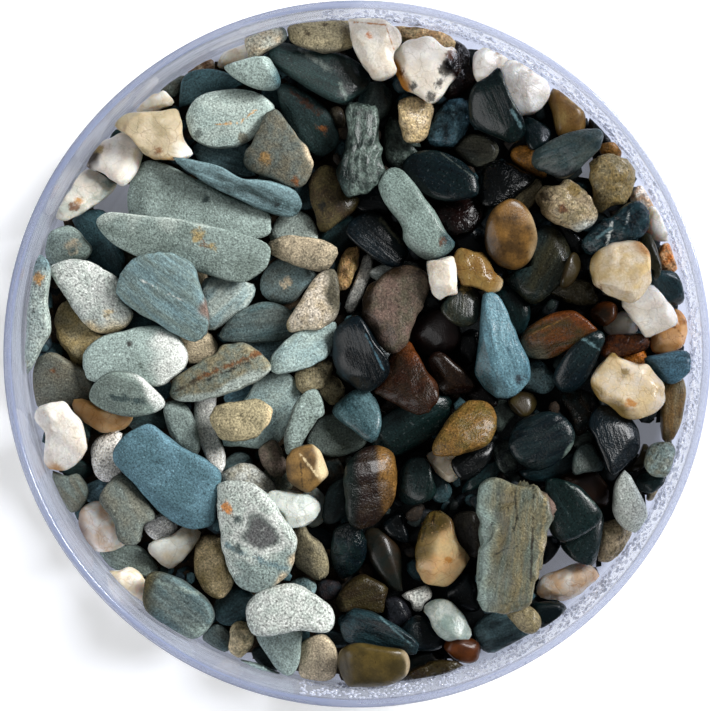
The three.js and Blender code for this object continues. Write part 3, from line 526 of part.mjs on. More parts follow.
  [3.2, 2.8, [[8.7, -33.4], [9.8, -32.4], [11.7, -32.4], [13.2, -33.4], [14.4, -35], [14.8, -36.8],
    [13, -37.2], [11.4, -37.3], [10, -35.8], [9.5, -34.6]]],
  [3.8, 3, [[34.5, 6.7], [38, 8.9], [39.8, 7.5], [40.9, 5.9], [41.4, 4.1], [39, 3.6], [38.5, 2.8],
    [37.4, 2.2], [36.4, 3.2], [35.6, 4.8]]],
  [3, 2.5, [[19.4, -33.4], [21.1, -32.6], [23.1, -33.4], [23.8, -35], [22.8, -36.4], [21.1, -35.8],
    [19.8, -34.5]]],
  [2.8, 2.3, [[26.3, 8.7], [26.8, 10.9], [27.6, 12.9], [28.5, 12.9], [29, 11.6], [28.5, 10],
    [27.3, 8.7]]],
  [3.4, 2.4, [[-33.4, -19.2], [-32.4, -17], [-30.8, -15.9], [-28.7, -17.5], [-26.4, -21.1],
    [-27.8, -22.3], [-28.4, -24.6], [-30.7, -24.1], [-31.5, -21.5]]],
];

// A point of the closed smooth curve through an outline's points: a uniform Catmull-Rom spline.
function curvePoint(outline, segment, t) {
  const count = outline.length;
  const [a, b, c, d] = [-1, 0, 1, 2].map((step) => outline[(segment + step + count) % count]);
  return [0, 1].map((axis) => 0.5 * (2 * b[axis] + (c[axis] - a[axis]) * t
    + (2 * a[axis] - 5 * b[axis] + 4 * c[axis] - d[axis]) * t * t
    + (3 * b[axis] - a[axis] - 3 * c[axis] + d[axis]) * t * t * t));
}

// A point held inside the dish's wall.
function insideDish([x, y]) {
  const scale = Math.min(1, FILL_RADIUS / Math.hypot(x, y));
  return [x * scale, y * scale];
}

// The middle of a stone's outline, and how far the outline is from it in every direction.
function footprint(outline) {
  const points = outline.map(insideDish);
  const curve = [];
  for (let segment = 0; segment < points.length; segment += 1) {
    for (let step = 0; step < CURVE_STEPS; step += 1) {
      curve.push(insideDish(curvePoint(points, segment, step / CURVE_STEPS)));
    }
  }
  const xs = curve.map((point) => point[0]);
  const ys = curve.map((point) => point[1]);
  const middle = [
    (Math.min(...xs) + Math.max(...xs)) / 2,
    (Math.min(...ys) + Math.max(...ys)) / 2,
  ];
  const polar = curve.map(([x, y]) => ({
    angle: Math.atan2(y - middle[1], x - middle[0]),
    radius: Math.hypot(x - middle[0], y - middle[1]),
  }));
  polar.sort((first, second) => first.angle - second.angle);
  polar.push({ angle: polar[0].angle + 2 * Math.PI, radius: polar[0].radius });
  const reach = [];
  for (let k = 0; k < DIRECTIONS; k += 1) {
    let angle = -Math.PI + (2 * Math.PI * k) / DIRECTIONS;
    if (angle < polar[0].angle) {
      angle += 2 * Math.PI;
    }
    const next = polar.findIndex((point) => point.angle >= angle);
    reach.push(between(polar[Math.max(next, 1) - 1], polar[Math.max(next, 1)], angle));
  }
  return { middle, reach };
}

// The radius between two neighbouring points of an outline.
function between(first, second, angle) {
  const span = second.angle - first.angle;
  const share = span > 0 ? (angle - first.angle) / span : 0;
  return first.radius + (second.radius - first.radius) * share;
}

// How far the outline reaches in one direction from its middle.
function reachAt(reach, dx, dy) {
  const place = ((Math.atan2(dy, dx) + Math.PI) / (2 * Math.PI)) * DIRECTIONS;
  const low = Math.floor(place) % DIRECTIONS;
  const share = place - Math.floor(place);
  return reach[low] + (reach[(low + 1) % DIRECTIONS] - reach[low]) * share;
}

// Half the thickness of a stone at a share of the way from its middle to its outline.
function halfThickness(stone, share) {
  return (stone.thick / 2) * (1 - share ** stone.edge) ** (1 / stone.edge);
}

const heights = new Float32Array(MAP_SIDE * MAP_SIDE).fill(FLOOR);

// The cells of the height map under a stone, each with the stone's half thickness there.
function cellsUnder(stone) {
  const { middle, reach } = stone.footprint;
  const largest = Math.max(...reach) + SIDE_CLEARANCE;
  const cells = [];
  const lowX = Math.ceil((middle[0] - largest) / CELL);
  const highX = Math.floor((middle[0] + largest) / CELL);
  const lowY = Math.ceil((middle[1] - largest) / CELL);
  const highY = Math.floor((middle[1] + largest) / CELL);
  for (let i = lowX; i <= highX; i += 1) {
    for (let j = lowY; j <= highY; j += 1) {
      const dx = i * CELL - middle[0];
      const dy = j * CELL - middle[1];
      const share = Math.hypot(dx, dy) / (reachAt(reach, dx, dy) + SIDE_CLEARANCE);
      if (share < 1) {
        const cell = (i + MAP_HALF) * MAP_SIDE + j + MAP_HALF;
        cells.push({ cell, dx, dy, half: halfThickness(stone, share) });
      }
    }
  }
  return cells;
}

// Lowers a stone, level or leaning a little, until it rests a gap above what lies under it, and
// keeps the lean that lets it sink the furthest.
function settle(stone, cells = cellsUnder(stone)) {
  const leans = [[0, 0]];
  for (const slope of LEANS) {
    for (let k = 0; k < LEAN_DIRECTIONS; k += 1) {
      const turn = (2 * Math.PI * k) / LEAN_DIRECTIONS;
      leans.push([slope * Math.cos(turn), slope * Math.sin(turn)]);
    }
  }
  stone.height = Infinity;
  for (const lean of leans) {
    let rest = 0;
    for (const { cell, dx, dy, half } of cells) {
      rest = Math.max(rest, heights[cell] + GAP + half - lean[0] * dx - lean[1] * dy);
    }
    if (rest < stone.height) {
      stone.height = rest;
      stone.lean = lean;
    }
  }
  for (const { cell, dx, dy, half } of cells) {
    const top = stone.height + half + stone.lean[0] * dx + stone.lean[1] * dy;
    heights[cell] = Math.max(heights[cell], top);
  }
}

// A point on a stone: its place in the outline's plane, and up or down by its half thickness.
function stonePoint(stone, dx, dy, up) {
  const { middle } = stone.footprint;
  return [
    middle[0] + dx,
    middle[1] + dy,
    stone.height + up + stone.lean[0] * dx + stone.lean[1] * dy,
  ];
}

// The solid of one stone: its outline as the widest ring, a shoulder ring above and below it,
// and a top and a bottom point.
function stoneGeometry(stone) {
  const { middle } = stone.footprint;
  const ring = [];
  stone.outline.map(insideDish).forEach((point, segment, points) => {
    ring.push(point);
    if (points.length <= FEW_POINTS && segment % 2 === 0) {
      ring.push(insideDish(curvePoint(points, segment, 0.5)));
    }
  });
  const offsets = ring.map(([x, y]) => [x - middle[0], y - middle[1]]);
  offsets.sort((first, second) => Math.atan2(first[1], first[0]) - Math.atan2(second[1], second[0]));
  const shoulder = halfThickness(stone, SHOULDER);
  const rings = [[SHOULDER, -shoulder], [1, 0], [SHOULDER, shoulder]];
  const count = offsets.length;
  const vertices = [stonePoint(stone, 0, 0, -stone.thick / 2)];
  for (const [share, up] of rings) {
    for (const [dx, dy] of offsets) {
      vertices.push(stonePoint(stone, dx * share, dy * share, up));
    }
  }
  const top = vertices.length;
  vertices.push(stonePoint(stone, 0, 0, stone.thick / 2));
  const faces = [];
  for (let k = 0; k < count; k += 1) {
    const next = (k + 1) % count;
    faces.push(0, 1 + next, 1 + k);
    for (let level = 0; level < rings.length - 1; level += 1) {
      const low = 1 + level * count;
      const high = low + count;
      faces.push(low + k, low + next, high + next);
      faces.push(low + k, high + next, high + k);
    }
    const last = 1 + (rings.length - 1) * count;
    faces.push(last + k, last + next, top);
  }
  return solid(vertices, faces);
}

// A geometry from a list of points and a list of the corners of its triangles.
function solid(vertices, faces) {
  const geometry = new THREE.BufferGeometry();
  geometry.setAttribute('position', new THREE.Float32BufferAttribute(vertices.flat(), 3));
  geometry.setIndex(faces);
  geometry.computeVertexNormals();
  return geometry;
}

// The stones that fill what the others leave free of the floor.
function addFillers() {
  for (let k = 0; k < FILLER_COUNT; k += 1) {
    const radius = FILLER_RADIUS * Math.sqrt((k + 0.5) / FILLER_COUNT);
    const x = radius * Math.cos(k * GOLDEN_ANGLE);
    const y = radius * Math.sin(k * GOLDEN_ANGLE);
    if (OPEN_FLOOR.some(([openX, openY, reach]) => Math.hypot(x - openX, y - openY) < reach)) {
      continue;
    }
    const turn = k * FILLER_TURN;
    const outline = [];
    for (let corner = 0; corner < FILLER.corners; corner += 1) {
      const angle = (2 * Math.PI * corner) / FILLER.corners;
      const along = (FILLER.length / 2) * Math.cos(angle);
      const across = (FILLER.width / 2) * Math.sin(angle);
      outline.push([
        x + along * Math.cos(turn) - across * Math.sin(turn),
        y + along * Math.sin(turn) + across * Math.cos(turn),
      ]);
    }
    const stone = { thick: FILLER.thick, edge: FILLER.edge, outline, footprint: footprint(outline) };
    const cells = cellsUnder(stone);
    if (cells.every(({ cell }) => heights[cell] === FLOOR)) {
      settle(stone, cells);
    }
  }
}

// The highest stone within reach of a place.
function highestNear(x, y) {
  const span = Math.ceil(SKIN_REACH / CELL);
  const column = Math.round(x / CELL) + MAP_HALF;
  const row = Math.round(y / CELL) + MAP_HALF;
  let highest = FLOOR;
  for (let i = -span; i <= span; i += 1) {
    for (let j = -span; j <= span; j += 1) {
      const inMap = column + i >= 0 && column + i < MAP_SIDE && row + j >= 0 && row + j < MAP_SIDE;
      if (inMap && Math.hypot(i, j) * CELL <= SKIN_REACH) {
        highest = Math.max(highest, heights[(column + i) * MAP_SIDE + row + j]);
      }
    }
  }
  return highest;
}

// The skin over the small stones as rings of points, six more in each ring than in the last.
function skinRings() {
  const rings = [];
  for (let ring = 0; ring <= SKIN_RINGS; ring += 1) {
    const radius = (FILL_RADIUS * ring) / SKIN_RINGS;
    const points = [];
    for (let k = 0; k < Math.max(1, 6 * ring); k += 1) {
      const angle = ring === 0 ? 0 : (2 * Math.PI * k) / (6 * ring);
      const x = radius * Math.cos(angle);
      const y = radius * Math.sin(angle);
      points.push([x, y, Math.max(highestNear(x, y), FLOOR + GAP + SKIN_THICKNESS)]);
    }
    rings.push(points);
  }
  return rings;
}

// Raises the height map to a triangle of the skin.
function coverWith(a, b, c) {
  const area = (b[0] - a[0]) * (c[1] - a[1]) - (b[1] - a[1]) * (c[0] - a[0]);
  const lowX = Math.floor(Math.min(a[0], b[0], c[0]) / CELL);
  const highX = Math.ceil(Math.max(a[0], b[0], c[0]) / CELL);
  const lowY = Math.floor(Math.min(a[1], b[1], c[1]) / CELL);
  const highY = Math.ceil(Math.max(a[1], b[1], c[1]) / CELL);
  for (let i = lowX; i <= highX; i += 1) {
    for (let j = lowY; j <= highY; j += 1) {
      const x = i * CELL;
      const y = j * CELL;
      const second = ((x - a[0]) * (c[1] - a[1]) - (y - a[1]) * (c[0] - a[0])) / area;
      const third = ((b[0] - a[0]) * (y - a[1]) - (b[1] - a[1]) * (x - a[0])) / area;
      if (Math.min(second, third, 1 - second - third) > -SKIN_OVERLAP) {
        const height = a[2] + second * (b[2] - a[2]) + third * (c[2] - a[2]);
        const cell = (i + MAP_HALF) * MAP_SIDE + j + MAP_HALF;
        heights[cell] = Math.max(heights[cell], height);
      }
    }
  }
}

// The solid of the small stones: the skin above, a flat underside, and a side along the wall.
function bedGeometry(rings) {
  const vertices = rings.flat();
  const starts = rings.map((_, ring) => (ring === 0 ? 0 : 1 + 3 * ring * (ring - 1)));
  const faces = [];
  const corner = (ring, sector, step) => {
    const count = Math.max(1, 6 * ring);
    return starts[ring] + ((sector * ring + step) % count);
  };
  for (let ring = 0; ring < SKIN_RINGS; ring += 1) {
    for (let sector = 0; sector < 6; sector += 1) {
      for (let step = 0; step <= ring; step += 1) {
        const inner = corner(ring, sector, step);
        const outer = corner(ring + 1, sector, step);
        const outerNext = corner(ring + 1, sector, step + 1);
        faces.push(inner, outer, outerNext);
        if (step < ring) {
          faces.push(inner, outerNext, corner(ring, sector, step + 1));
        }
      }
    }
  }
  for (let k = 0; k < faces.length; k += 3) {
    coverWith(vertices[faces[k]], vertices[faces[k + 1]], vertices[faces[k + 2]]);
  }
  const border = rings[SKIN_RINGS];
  const underside = vertices.length;
  for (const [x, y] of border) {
    vertices.push([x, y, FLOOR + GAP]);
  }
  const centre = vertices.length;
  vertices.push([0, 0, FLOOR + GAP]);
  for (let k = 0; k < border.length; k += 1) {
    const next = (k + 1) % border.length;
    const top = starts[SKIN_RINGS] + k;
    const topNext = starts[SKIN_RINGS] + next;
    faces.push(top, underside + k, underside + next);
    faces.push(top, underside + next, topNext);
    faces.push(centre, underside + next, underside + k);
  }
  return solid(vertices, faces);
}

// The dish: a flat floor, an upright wall with a slight draft, and eased edges.
function dishGeometry() {
  const innerRim = RIM_RADIUS - WALL;
  const innerBase = BASE_RADIUS - WALL;
  const profile = [
    [0, 0], [BASE_RADIUS - EDGE, 0], [BASE_RADIUS, EDGE],
    [RIM_RADIUS, DISH_HEIGHT - EDGE / 2], [RIM_RADIUS - EDGE / 2, DISH_HEIGHT],
    [innerRim + EDGE / 2, DISH_HEIGHT], [innerRim, DISH_HEIGHT - EDGE / 2],
    [innerBase, FLOOR + EDGE], [innerBase - EDGE, FLOOR], [0, FLOOR],
  ];
  const points = profile.map(([radius, height]) => new THREE.Vector2(radius, height));
  const geometry = new THREE.LatheGeometry(points, DISH_SEGMENTS);
  geometry.rotateX(Math.PI / 2);
  geometry.deleteAttribute('normal');
  geometry.deleteAttribute('uv');
  const merged = mergeVertices(geometry, WELD_DISTANCE);
  merged.computeVertexNormals();
  return merged;
}

function addMesh(group, name, geometry, material) {
  const mesh = new THREE.Mesh(geometry, material);
  mesh.name = name;
  group.add(mesh);
}

const group = new THREE.Group();

addMesh(group, 'dish', dishGeometry(), new THREE.MeshStandardMaterial({
  color: 0xe6e9f2, roughness: 0.08, metalness: 0, transparent: true, opacity: 0.35,
}));

for (const [thick, edge, outline] of BED_STONES) {
  settle({ thick, edge, outline, footprint: footprint(outline) });
}
addFillers();
addMesh(group, 'gravel_bed', bedGeometry(skinRings()), new THREE.MeshStandardMaterial({
  color: COLOURS.slate, roughness: 0.7, metalness: 0,
}));

for (const [name, colour, thick, edge, outline] of TOP_STONES) {
  const stone = { thick, edge, outline, footprint: footprint(outline) };
  settle(stone);
  addMesh(group, name, stoneGeometry(stone), new THREE.MeshStandardMaterial({
    color: COLOURS[colour], roughness: 0.75, metalness: 0,
  }));
}

export default group;
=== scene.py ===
# River gravel in a clear, shallow, round dish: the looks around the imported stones.
import math
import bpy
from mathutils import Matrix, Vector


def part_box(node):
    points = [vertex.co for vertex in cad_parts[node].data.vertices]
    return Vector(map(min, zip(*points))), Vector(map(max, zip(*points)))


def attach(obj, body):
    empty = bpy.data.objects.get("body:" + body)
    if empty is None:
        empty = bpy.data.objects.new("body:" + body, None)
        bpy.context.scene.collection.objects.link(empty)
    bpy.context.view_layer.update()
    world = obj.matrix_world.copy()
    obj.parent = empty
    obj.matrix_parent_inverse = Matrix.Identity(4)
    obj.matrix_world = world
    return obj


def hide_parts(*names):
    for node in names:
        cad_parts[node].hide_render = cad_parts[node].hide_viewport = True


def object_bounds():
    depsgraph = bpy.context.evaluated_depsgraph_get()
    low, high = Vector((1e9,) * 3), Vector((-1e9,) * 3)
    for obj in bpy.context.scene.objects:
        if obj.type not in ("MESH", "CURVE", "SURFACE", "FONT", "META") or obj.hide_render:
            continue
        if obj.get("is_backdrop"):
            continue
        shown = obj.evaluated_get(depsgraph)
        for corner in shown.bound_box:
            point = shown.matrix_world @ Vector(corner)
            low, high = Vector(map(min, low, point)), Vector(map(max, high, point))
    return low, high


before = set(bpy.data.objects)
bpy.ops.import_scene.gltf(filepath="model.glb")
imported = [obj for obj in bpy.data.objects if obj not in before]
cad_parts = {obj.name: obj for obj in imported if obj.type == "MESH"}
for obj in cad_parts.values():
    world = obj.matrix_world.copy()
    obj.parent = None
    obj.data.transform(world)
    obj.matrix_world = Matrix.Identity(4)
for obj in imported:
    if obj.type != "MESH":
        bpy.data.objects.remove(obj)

import zlib

import bpy
import numpy as np
from mathutils import Matrix, Vector

bl_info = {
    "name": "River Gravel",
    "version": (1, 0, 0),
    "blender": (4, 5, 0),
    "location": "View3D > Sidebar > Gravel",
    "description": "River stones heaped in a clear shallow dish, half of them wet",
    "category": "Add Mesh",
}

MM = 0.001
CAD_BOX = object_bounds()

# The dish, in millimetres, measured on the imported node: how much narrower its foot is, how round its
# edges are, how thick its floor and wall are, and how far from the wall the stones stay
DISH_LOW, DISH_HIGH = (np.array(corner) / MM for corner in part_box("dish"))
RIM_RADIUS = round(float(DISH_HIGH[0] - DISH_LOW[0]) / 2, 2)
DISH_HEIGHT = round(float(DISH_HIGH[2]), 2)
DRAFT = 0.4
EDGE = 0.5
FLOOR = 1.0
WALL = 1.0
DISH_SEGMENTS = 288
WALL_CLEARANCE = 0.3
FILL_RADIUS = RIM_RADIUS - DRAFT - WALL - WALL_CLEARANCE

# The height map on which the small stones settle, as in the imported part: side of its cells, gaps
# beside and under a stone, and the slopes and directions in which a stone may lean. Directions in
# which an outline is looked up there, and points to a stretch of its curve.
CELL = 0.25
SIDE_CLEARANCE = 0.15
GAP = 0.3
MAP_HALF = math.ceil(RIM_RADIUS / CELL)
MAP_SIDE = 2 * MAP_HALF + 1
LEAN_SLOPES = (0.12, 0.24, 0.36)
LEAN_DIRECTIONS = 8
DIRECTIONS = 72
CURVE_STEPS = 6

# Stones on the floor where the others leave it free, spread like the seeds of a sunflower
FILLER_COUNT = 220
FILLER_RADIUS = 41
FILLER_LENGTH, FILLER_WIDTH, FILLER_THICK, FILLER_EDGE = 5.6, 4.2, 2.8, 2.2
OVAL_CORNERS = 8
FILLER_LOOKS = (
    ("slate", "petrol", "ink"), ("slate", "charcoal", "lead"), ("sandstone", "taupe", "umber"),
)
GOLDEN_ANGLE = math.pi * (3 - math.sqrt(5))
FILLER_TURN = 5 * GOLDEN_ANGLE

# Places where the pale floor shows: middle and radius
OPEN_FLOOR = (
    (-31.5, 19.5, 3.2), (27, -26.5, 4.5), (38, -11, 2.6), (37.5, -23, 2.4), (29.5, 24.5, 1.6),
    (-31, -28.5, 2.2),
)

# Grit in the gaps: its lengths, each with how many places are tried, width and thickness as shares
# of the length, how uneven and how glossy it is, how far out it lies, the gap around it, and how far
# it stays below the tops of its neighbours, which are looked for that many cells around
GRIT_SIZES = (
    (5.6, 900), (4.4, 1400), (3.4, 2000), (2.6, 3000), (4.0, 1501), (3.0, 2401), (2.2, 4001),
    (3.4, 1903), (2.4, 3203),
)
GRIT_WIDTH, GRIT_THICK = 0.76, 0.42
GRIT_UNEVEN = 0.45
GRIT_GLOSS = 0.1
GRIT_RADIUS = 42.6
GRIT_GAP = 0.08
GRIT_SUNK = 0.7
GRIT_LOOK = 10
# Kinds and tones of the grit. The tones are nearly black: partly the grit's own dark colour and partly
# painted shade for the deep gaps it lies in
GRIT_KINDS = ("greywacke", "slate", "greywacke", "sandstone", "greywacke")
GRIT_TONES_AND_SHADE = (("petrol", "ink"), ("ink", "jet"), ("umber", "jet"), ("bottle", "jet"))

# Dark sand on the floor, which is painted shade: a thin dark sheet that stands in for the deep shade
# in the gaps between the stones. Side of its squares, thickness, and how uneven it is
SHADE_SHEET_CELL, SHADE_SHEET_THICK, SHADE_SHEET_WAVER = 0.7, 0.22, 0.2
SHADE_SHEET_TONES = ("umber", "jet")

# Seed and lengths of the dark sheet's waves, height over the floor, and, for its look, how far its
# place is moved and how dark its second tone is
SHADE_SHEET_SEED, SHADE_SHEET_WAVES, SHADE_SHEET_ABOVE = 11, (3, 3, 1.8), 0.01
SHADE_SHEET_SHIFT, SHADE_SHEET_SECOND = 200, 0.6

# Noise in the shapes: how many sine waves it has, and their lengths against the length asked for
WAVE_COUNT, WAVE_LENGTHS = 12, (0.7, 1.5)

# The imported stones: how far out their shoulder rings lie, how square their edges may be, and the
# points to a stretch of their outlines
SHOULDER = 0.8
PACKED_EDGES = np.linspace(1.6, 6, 89)
OUTLINE_STEPS = 16

# How fine the surfaces are, in millimetres between points, and the least and most points around
NAMED_SPACING, NAMED_AROUND = 0.36, (84, 190)
SMALL_SPACING, SMALL_AROUND = 0.62, (36, 64)
GRIT_AROUND, GRIT_RINGS = (8, 10), 4
RINGS_PER_AROUND = 0.46

# Worn flats: how far, in radians, they stray from even headings, which of them lie below, how
# steeply they rise, the same for the crowns, how near the middle they lie, and how far outside the
# outline they stay
FLAT_STRAY, FLATS_TO_ONE_BELOW = 0.5, 3
FLAT_RISE, CROWN_RISE = (0.35, 0.92), (0.97, 0.998)
FLAT_DEEPEST, FLAT_SHALLOWEST = 0.80, 0.98
FLAT_TRIM = 1.03

# Ribs: how far they bend, as a share of their spacing, how much they fade, and over what lengths in
# millimetres. Pits: how strongly they keep to the top, and how uneven their widths are. Stones
# smaller than a size have less of it all.
RIB_BEND, RIB_BEND_LENGTH = 0.35, 5
RIB_FADE, RIB_FADE_LENGTH = 0.5, 4
PIT_LIFT, PIT_WIDTHS = 0.3, (0.6, 1.4)
FULL_RELIEF_SIZE = 6

# Where the heap is wet: to the right of this line, which wavers a little. Tones are raised to one
# power where the stones are dry, and to a higher one where they are wet.
WET_EDGE, WET_WIDTH, WET_WAVER = -2.0, 1.4, 1.2
DRY_DEPTH, WET_DEPTH = 1.10, 1.36

# Marks: how soft their borders are, how much they waver and over what length, and how dark the
# second tone of a side is
MARK_SOFTNESS, MARK_WAVER, SIDE_WAVER = 0.4, 0.25, 0.14
WAVER_LENGTH = 3.5
SIDE_SECOND = 0.8

# Worn borders, painted paler: partly wear and partly a painted highlight where the rims catch the
# light. How far upward the surface faces there, how wide they are, how strong they usually are, and
# how much of that water takes, as the water's gloss gives the highlight there
WORN_AND_LIT_RISE, WORN_AND_LIT_SPREAD = 0.62, 0.22
USUAL_WORN_AND_LIT, WORN_AND_LIT_LOST = 0.15, 0.7

# The dish: radius of the first ring around its middle, the bends of its corners and of its lip, and
# how its wet side wavers, with a seed, and fades, in millimetres
DISH_MIDDLE, DISH_SEED = 20, 1
CORNER_BEND = np.radians([0, 30, 60, 90])
LIP_BEND = np.radians(np.arange(15, 180, 15))
DISH_WAVER_LENGTH, DISH_WAVER, DISH_WET_WIDTH = 12, 2, 3

# Water beads: points around, rings and seed, degrees around the wall, lowest height and distance
# under the rim in millimetres, and as shares of the radius their sizes, depth, widths, heights and
# how deep they sit in the wall
BEAD_AROUND, BEAD_RINGS, BEAD_SEED = 7, 3, 7
BEAD_TURNS, BEAD_LOWEST, BEAD_UNDER_RIM = (-100, 96), 3, 1.4
BEAD_SIZES, BEAD_DEPTH = (0.45, 1), 0.55
BEAD_WIDTHS, BEAD_HEIGHTS = (0.8, 1.2), (1.6, 3.2)
BEAD_SUNK = 0.3

# Stage: the floor's reach and how far below the dish it lies, in millimetres, how much it glows and
# the grain of its paper, the places of lights and camera and the point that it looks at, in metres,
# the camera's sensor in millimetres, and how near and far it sees
FLOOR_REACH, FLOOR_BELOW, FLOOR_GLOW = 900.0, 0.02, 0.18
PAPER_SCALE, PAPER_RISE, PAPER_STRENGTH, PAPER_ROUGHNESS = 900.0, 0.00002, 0.3, 0.85
KEY_PLACE, FILL_PLACE = (0.86, 0.52, 0.66), (-0.75, -0.50, 0.60)
SKY_COLOUR = (0.96, 0.98, 1, 1)
CAMERA_X, CAMERA_Y = 0.010, 0.008
AIM_X, AIM_Y = 0.00013, -0.00005
SENSOR = 36.0
NEAREST, FURTHEST = 0.01, 10

# Tones of the stones as they are seen: red, green and blue, two hexadecimal digits each
TONES = {
    "milk": "e2e0da", "ivory": "d6cec2", "cream": "cebc98", "beige": "b4a68e", "sand": "998f73",
    "khaki": "847c64", "tan": "866a40", "gold": "9d8a5e", "ochre": "b68848", "orange": "c88232",
    "rust": "704622", "red_brown": "402616", "umber": "3a2e20", "olive": "484128",
    "maroon": "2c1c1a", "mist": "c2c5c0", "pale_sage": "a8b1aa", "sage": "92a09b",
    "moss": "6e7a74", "steel": "6e8589", "denim": "5c7984", "sky": "78949c", "petrol": "3b5459",
    "lead": "5a625e", "charcoal": "2d3d3e", "bottle": "182c2a", "ink": "13242b", "jet": "0a1113",
    "taupe": "686456", "mauve": "423e42", "dusk": "7a6a62", "bronze": "6e6038",
    "snow": "f0ede6", "peach": "cfae86",
}

# Form of each kind of stone. crown: how far up its flat top lies, at least and at most. facets: how
# many worn flats more. crisp: how sharp their edges are. deepest: how near the middle a flat may
# lie. trim: how far outside the outline it stays. lumps: swells and hollows, (length, height) in
# millimetres. pits: how many, their width and depth. ribs: ridges along the stone, (spacing,
# height). crust: wrinkled all over, (length, height). squarer: how much squarer the edge is than
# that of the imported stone.
FORMS = {
    "slate": dict(crown=(0.86, 0.93), facets=5, crisp=34, lumps=((7, 0.12), (2.6, 0.03)),
                  squarer=1.6),
    "greywacke": dict(crown=(0.85, 0.93), facets=5, crisp=28, lumps=((6, 0.12), (2.2, 0.04)),
                      squarer=1.45),
    "granite": dict(crown=(0.84, 0.92), facets=6, crisp=20, lumps=((5, 0.16), (1.8, 0.06)),
                    pits=(10, 0.5, 0.12)),
    "quartz": dict(crown=(0.80, 0.9), facets=13, deepest=0.74, trim=0.99, crisp=46,
                   lumps=((5, 0.16), (1.9, 0.08)), pits=(8, 0.8, 0.25)),
    "quartzite": dict(crown=(0.84, 0.94), facets=9, deepest=0.76, trim=1.0, crisp=30,
                      lumps=((4, 0.30), (1.6, 0.16)), pits=(18, 0.7, 0.30)),
    "sandstone": dict(crown=(0.82, 0.92), facets=7, crisp=20, lumps=((5, 0.16), (1.8, 0.08)),
                      pits=(14, 0.55, 0.18)),
    "jasper": dict(crown=(0.88, 0.96), facets=4, crisp=16, lumps=((7, 0.12), (2.6, 0.03))),
    "layered": dict(crown=(0.84, 0.92), facets=5, crisp=34, lumps=((6, 0.12), (2.4, 0.04)),
                    ribs=(1.1, 0.09), squarer=1.6),
    "slab": dict(crown=(0.86, 0.93), facets=5, crisp=40, lumps=((7, 0.15), (2.4, 0.05)),
                 ribs=(3.6, 0.55), squarer=1.6),
    "bark": dict(crown=(0.86, 0.94), facets=4, crisp=18, lumps=((6, 0.16), (2, 0.08)),
                 ribs=(1.2, 0.28)),
    "crinkled": dict(crown=(0.84, 0.92), facets=7, crisp=24, lumps=((5, 0.2), (2.2, 0.1)),
                     crust=(1.5, 0.16)),
}
# Stones whose flats fall better with another seed
OTHER_SEEDS = {
    "dark_rounded_triangle": 11, "dark_cluster": 7, "blue_band_back": 4, "olive_brown_tip": 8,
    "grey_hole_wedge": 8, "teal_ochre_spot": 11, "tall_brown_olive": 12,
    "dark_green_triangle": 3, "black_blue_pebble": 7, "swirl_grey": 1, "arc_lit_pebble": 12,
}

# How much squarer than packed the edges are, and how much wider the outlines, before the wear
SQUARER = 1.25
OUTLINE_GAIN = 1.04

# Finish of each kind. mottle, lines, grain, dark and light: sizes in millimetres, then how much of
# it there is. streak: how much longer the mottle is than wide. rough: dry and wet. bump: in
# millimetres. cracks: distance between them, and their strength. glow: share of the light that
# passes on below the surface. worn: how much paler the worn borders are painted, partly for wear
# and partly as a painted highlight on the rims.
FINISHES = {
    "slate": dict(mottle=(2.2, 0.7), streak=2.5, lines=(0.26, 0.26), grain=(0.15, 0.32),
                  dark=(0.24, 0.12), light=(0.22, 0.18), rough=(0.62, 0.30), bump=0.05, worn=0.5),
    "greywacke": dict(mottle=(1.8, 0.6), streak=1.6, grain=(0.15, 0.30), dark=(0.22, 0.18),
                      light=(0.20, 0.20), rough=(0.80, 0.44), bump=0.10, worn=0.45),
    "granite": dict(mottle=(0.9, 0.7), grain=(0.17, 0.34), dark=(0.26, 0.28), light=(0.26, 0.20),
                    rough=(0.78, 0.48), bump=0.13),
    "quartz": dict(mottle=(1.6, 0.8), grain=(0.20, 0.06), rough=(0.40, 0.20), bump=0.05,
                   cracks=(2.6, 0.35), glow=0.6, worn=0.05),
    "quartzite": dict(mottle=(0.9, 0.9), grain=(0.19, 0.32), dark=(0.34, 0.22),
                      light=(0.28, 0.18), rough=(0.56, 0.30), bump=0.18, glow=0.15),
    "sandstone": dict(mottle=(1.3, 0.9), grain=(0.16, 0.32), dark=(0.26, 0.16),
                      light=(0.22, 0.14), rough=(0.84, 0.40), bump=0.12, worn=0.3),
    "jasper": dict(mottle=(1.8, 0.8), grain=(0.15, 0.10), dark=(0.30, 0.08), rough=(0.54, 0.36),
                   bump=0.03),
    "layered": dict(mottle=(0.8, 0.8), streak=4, lines=(0.34, 0.2), grain=(0.16, 0.24),
                    dark=(0.28, 0.10), light=(0.22, 0.12), rough=(0.66, 0.34), bump=0.11,
                    worn=0.35),
    "slab": dict(mottle=(1.0, 0.8), streak=5, lines=(0.5, 0.24), grain=(0.16, 0.26),
                 dark=(0.30, 0.16), light=(0.22, 0.16), rough=(0.70, 0.40), bump=0.13, worn=0.4),
    "bark": dict(mottle=(0.7, 0.9), lines=(0.34, 0.2), grain=(0.18, 0.34), dark=(0.30, 0.22),
                 light=(0.24, 0.12), rough=(0.70, 0.40), bump=0.12, worn=0.3),
    "crinkled": dict(mottle=(0.9, 0.9), grain=(0.18, 0.28), light=(0.26, 0.16),
                     rough=(0.44, 0.24), bump=0.13),
}

# Length of a noise against the size of its features
NOISE_LENGTH = 1.6

# How strongly the finishes work. Mottle: softness of its borders. Lines: how far they are drawn
# out. Gains: how much darker and lighter lines and grain make a tone, against their amount.
MOTTLE_SOFT, LINE_STRETCH = 0.16, 0.06
LINE_GAIN, GRAIN_GAIN, DARKEST_GRAIN = 3, 4, 0.05
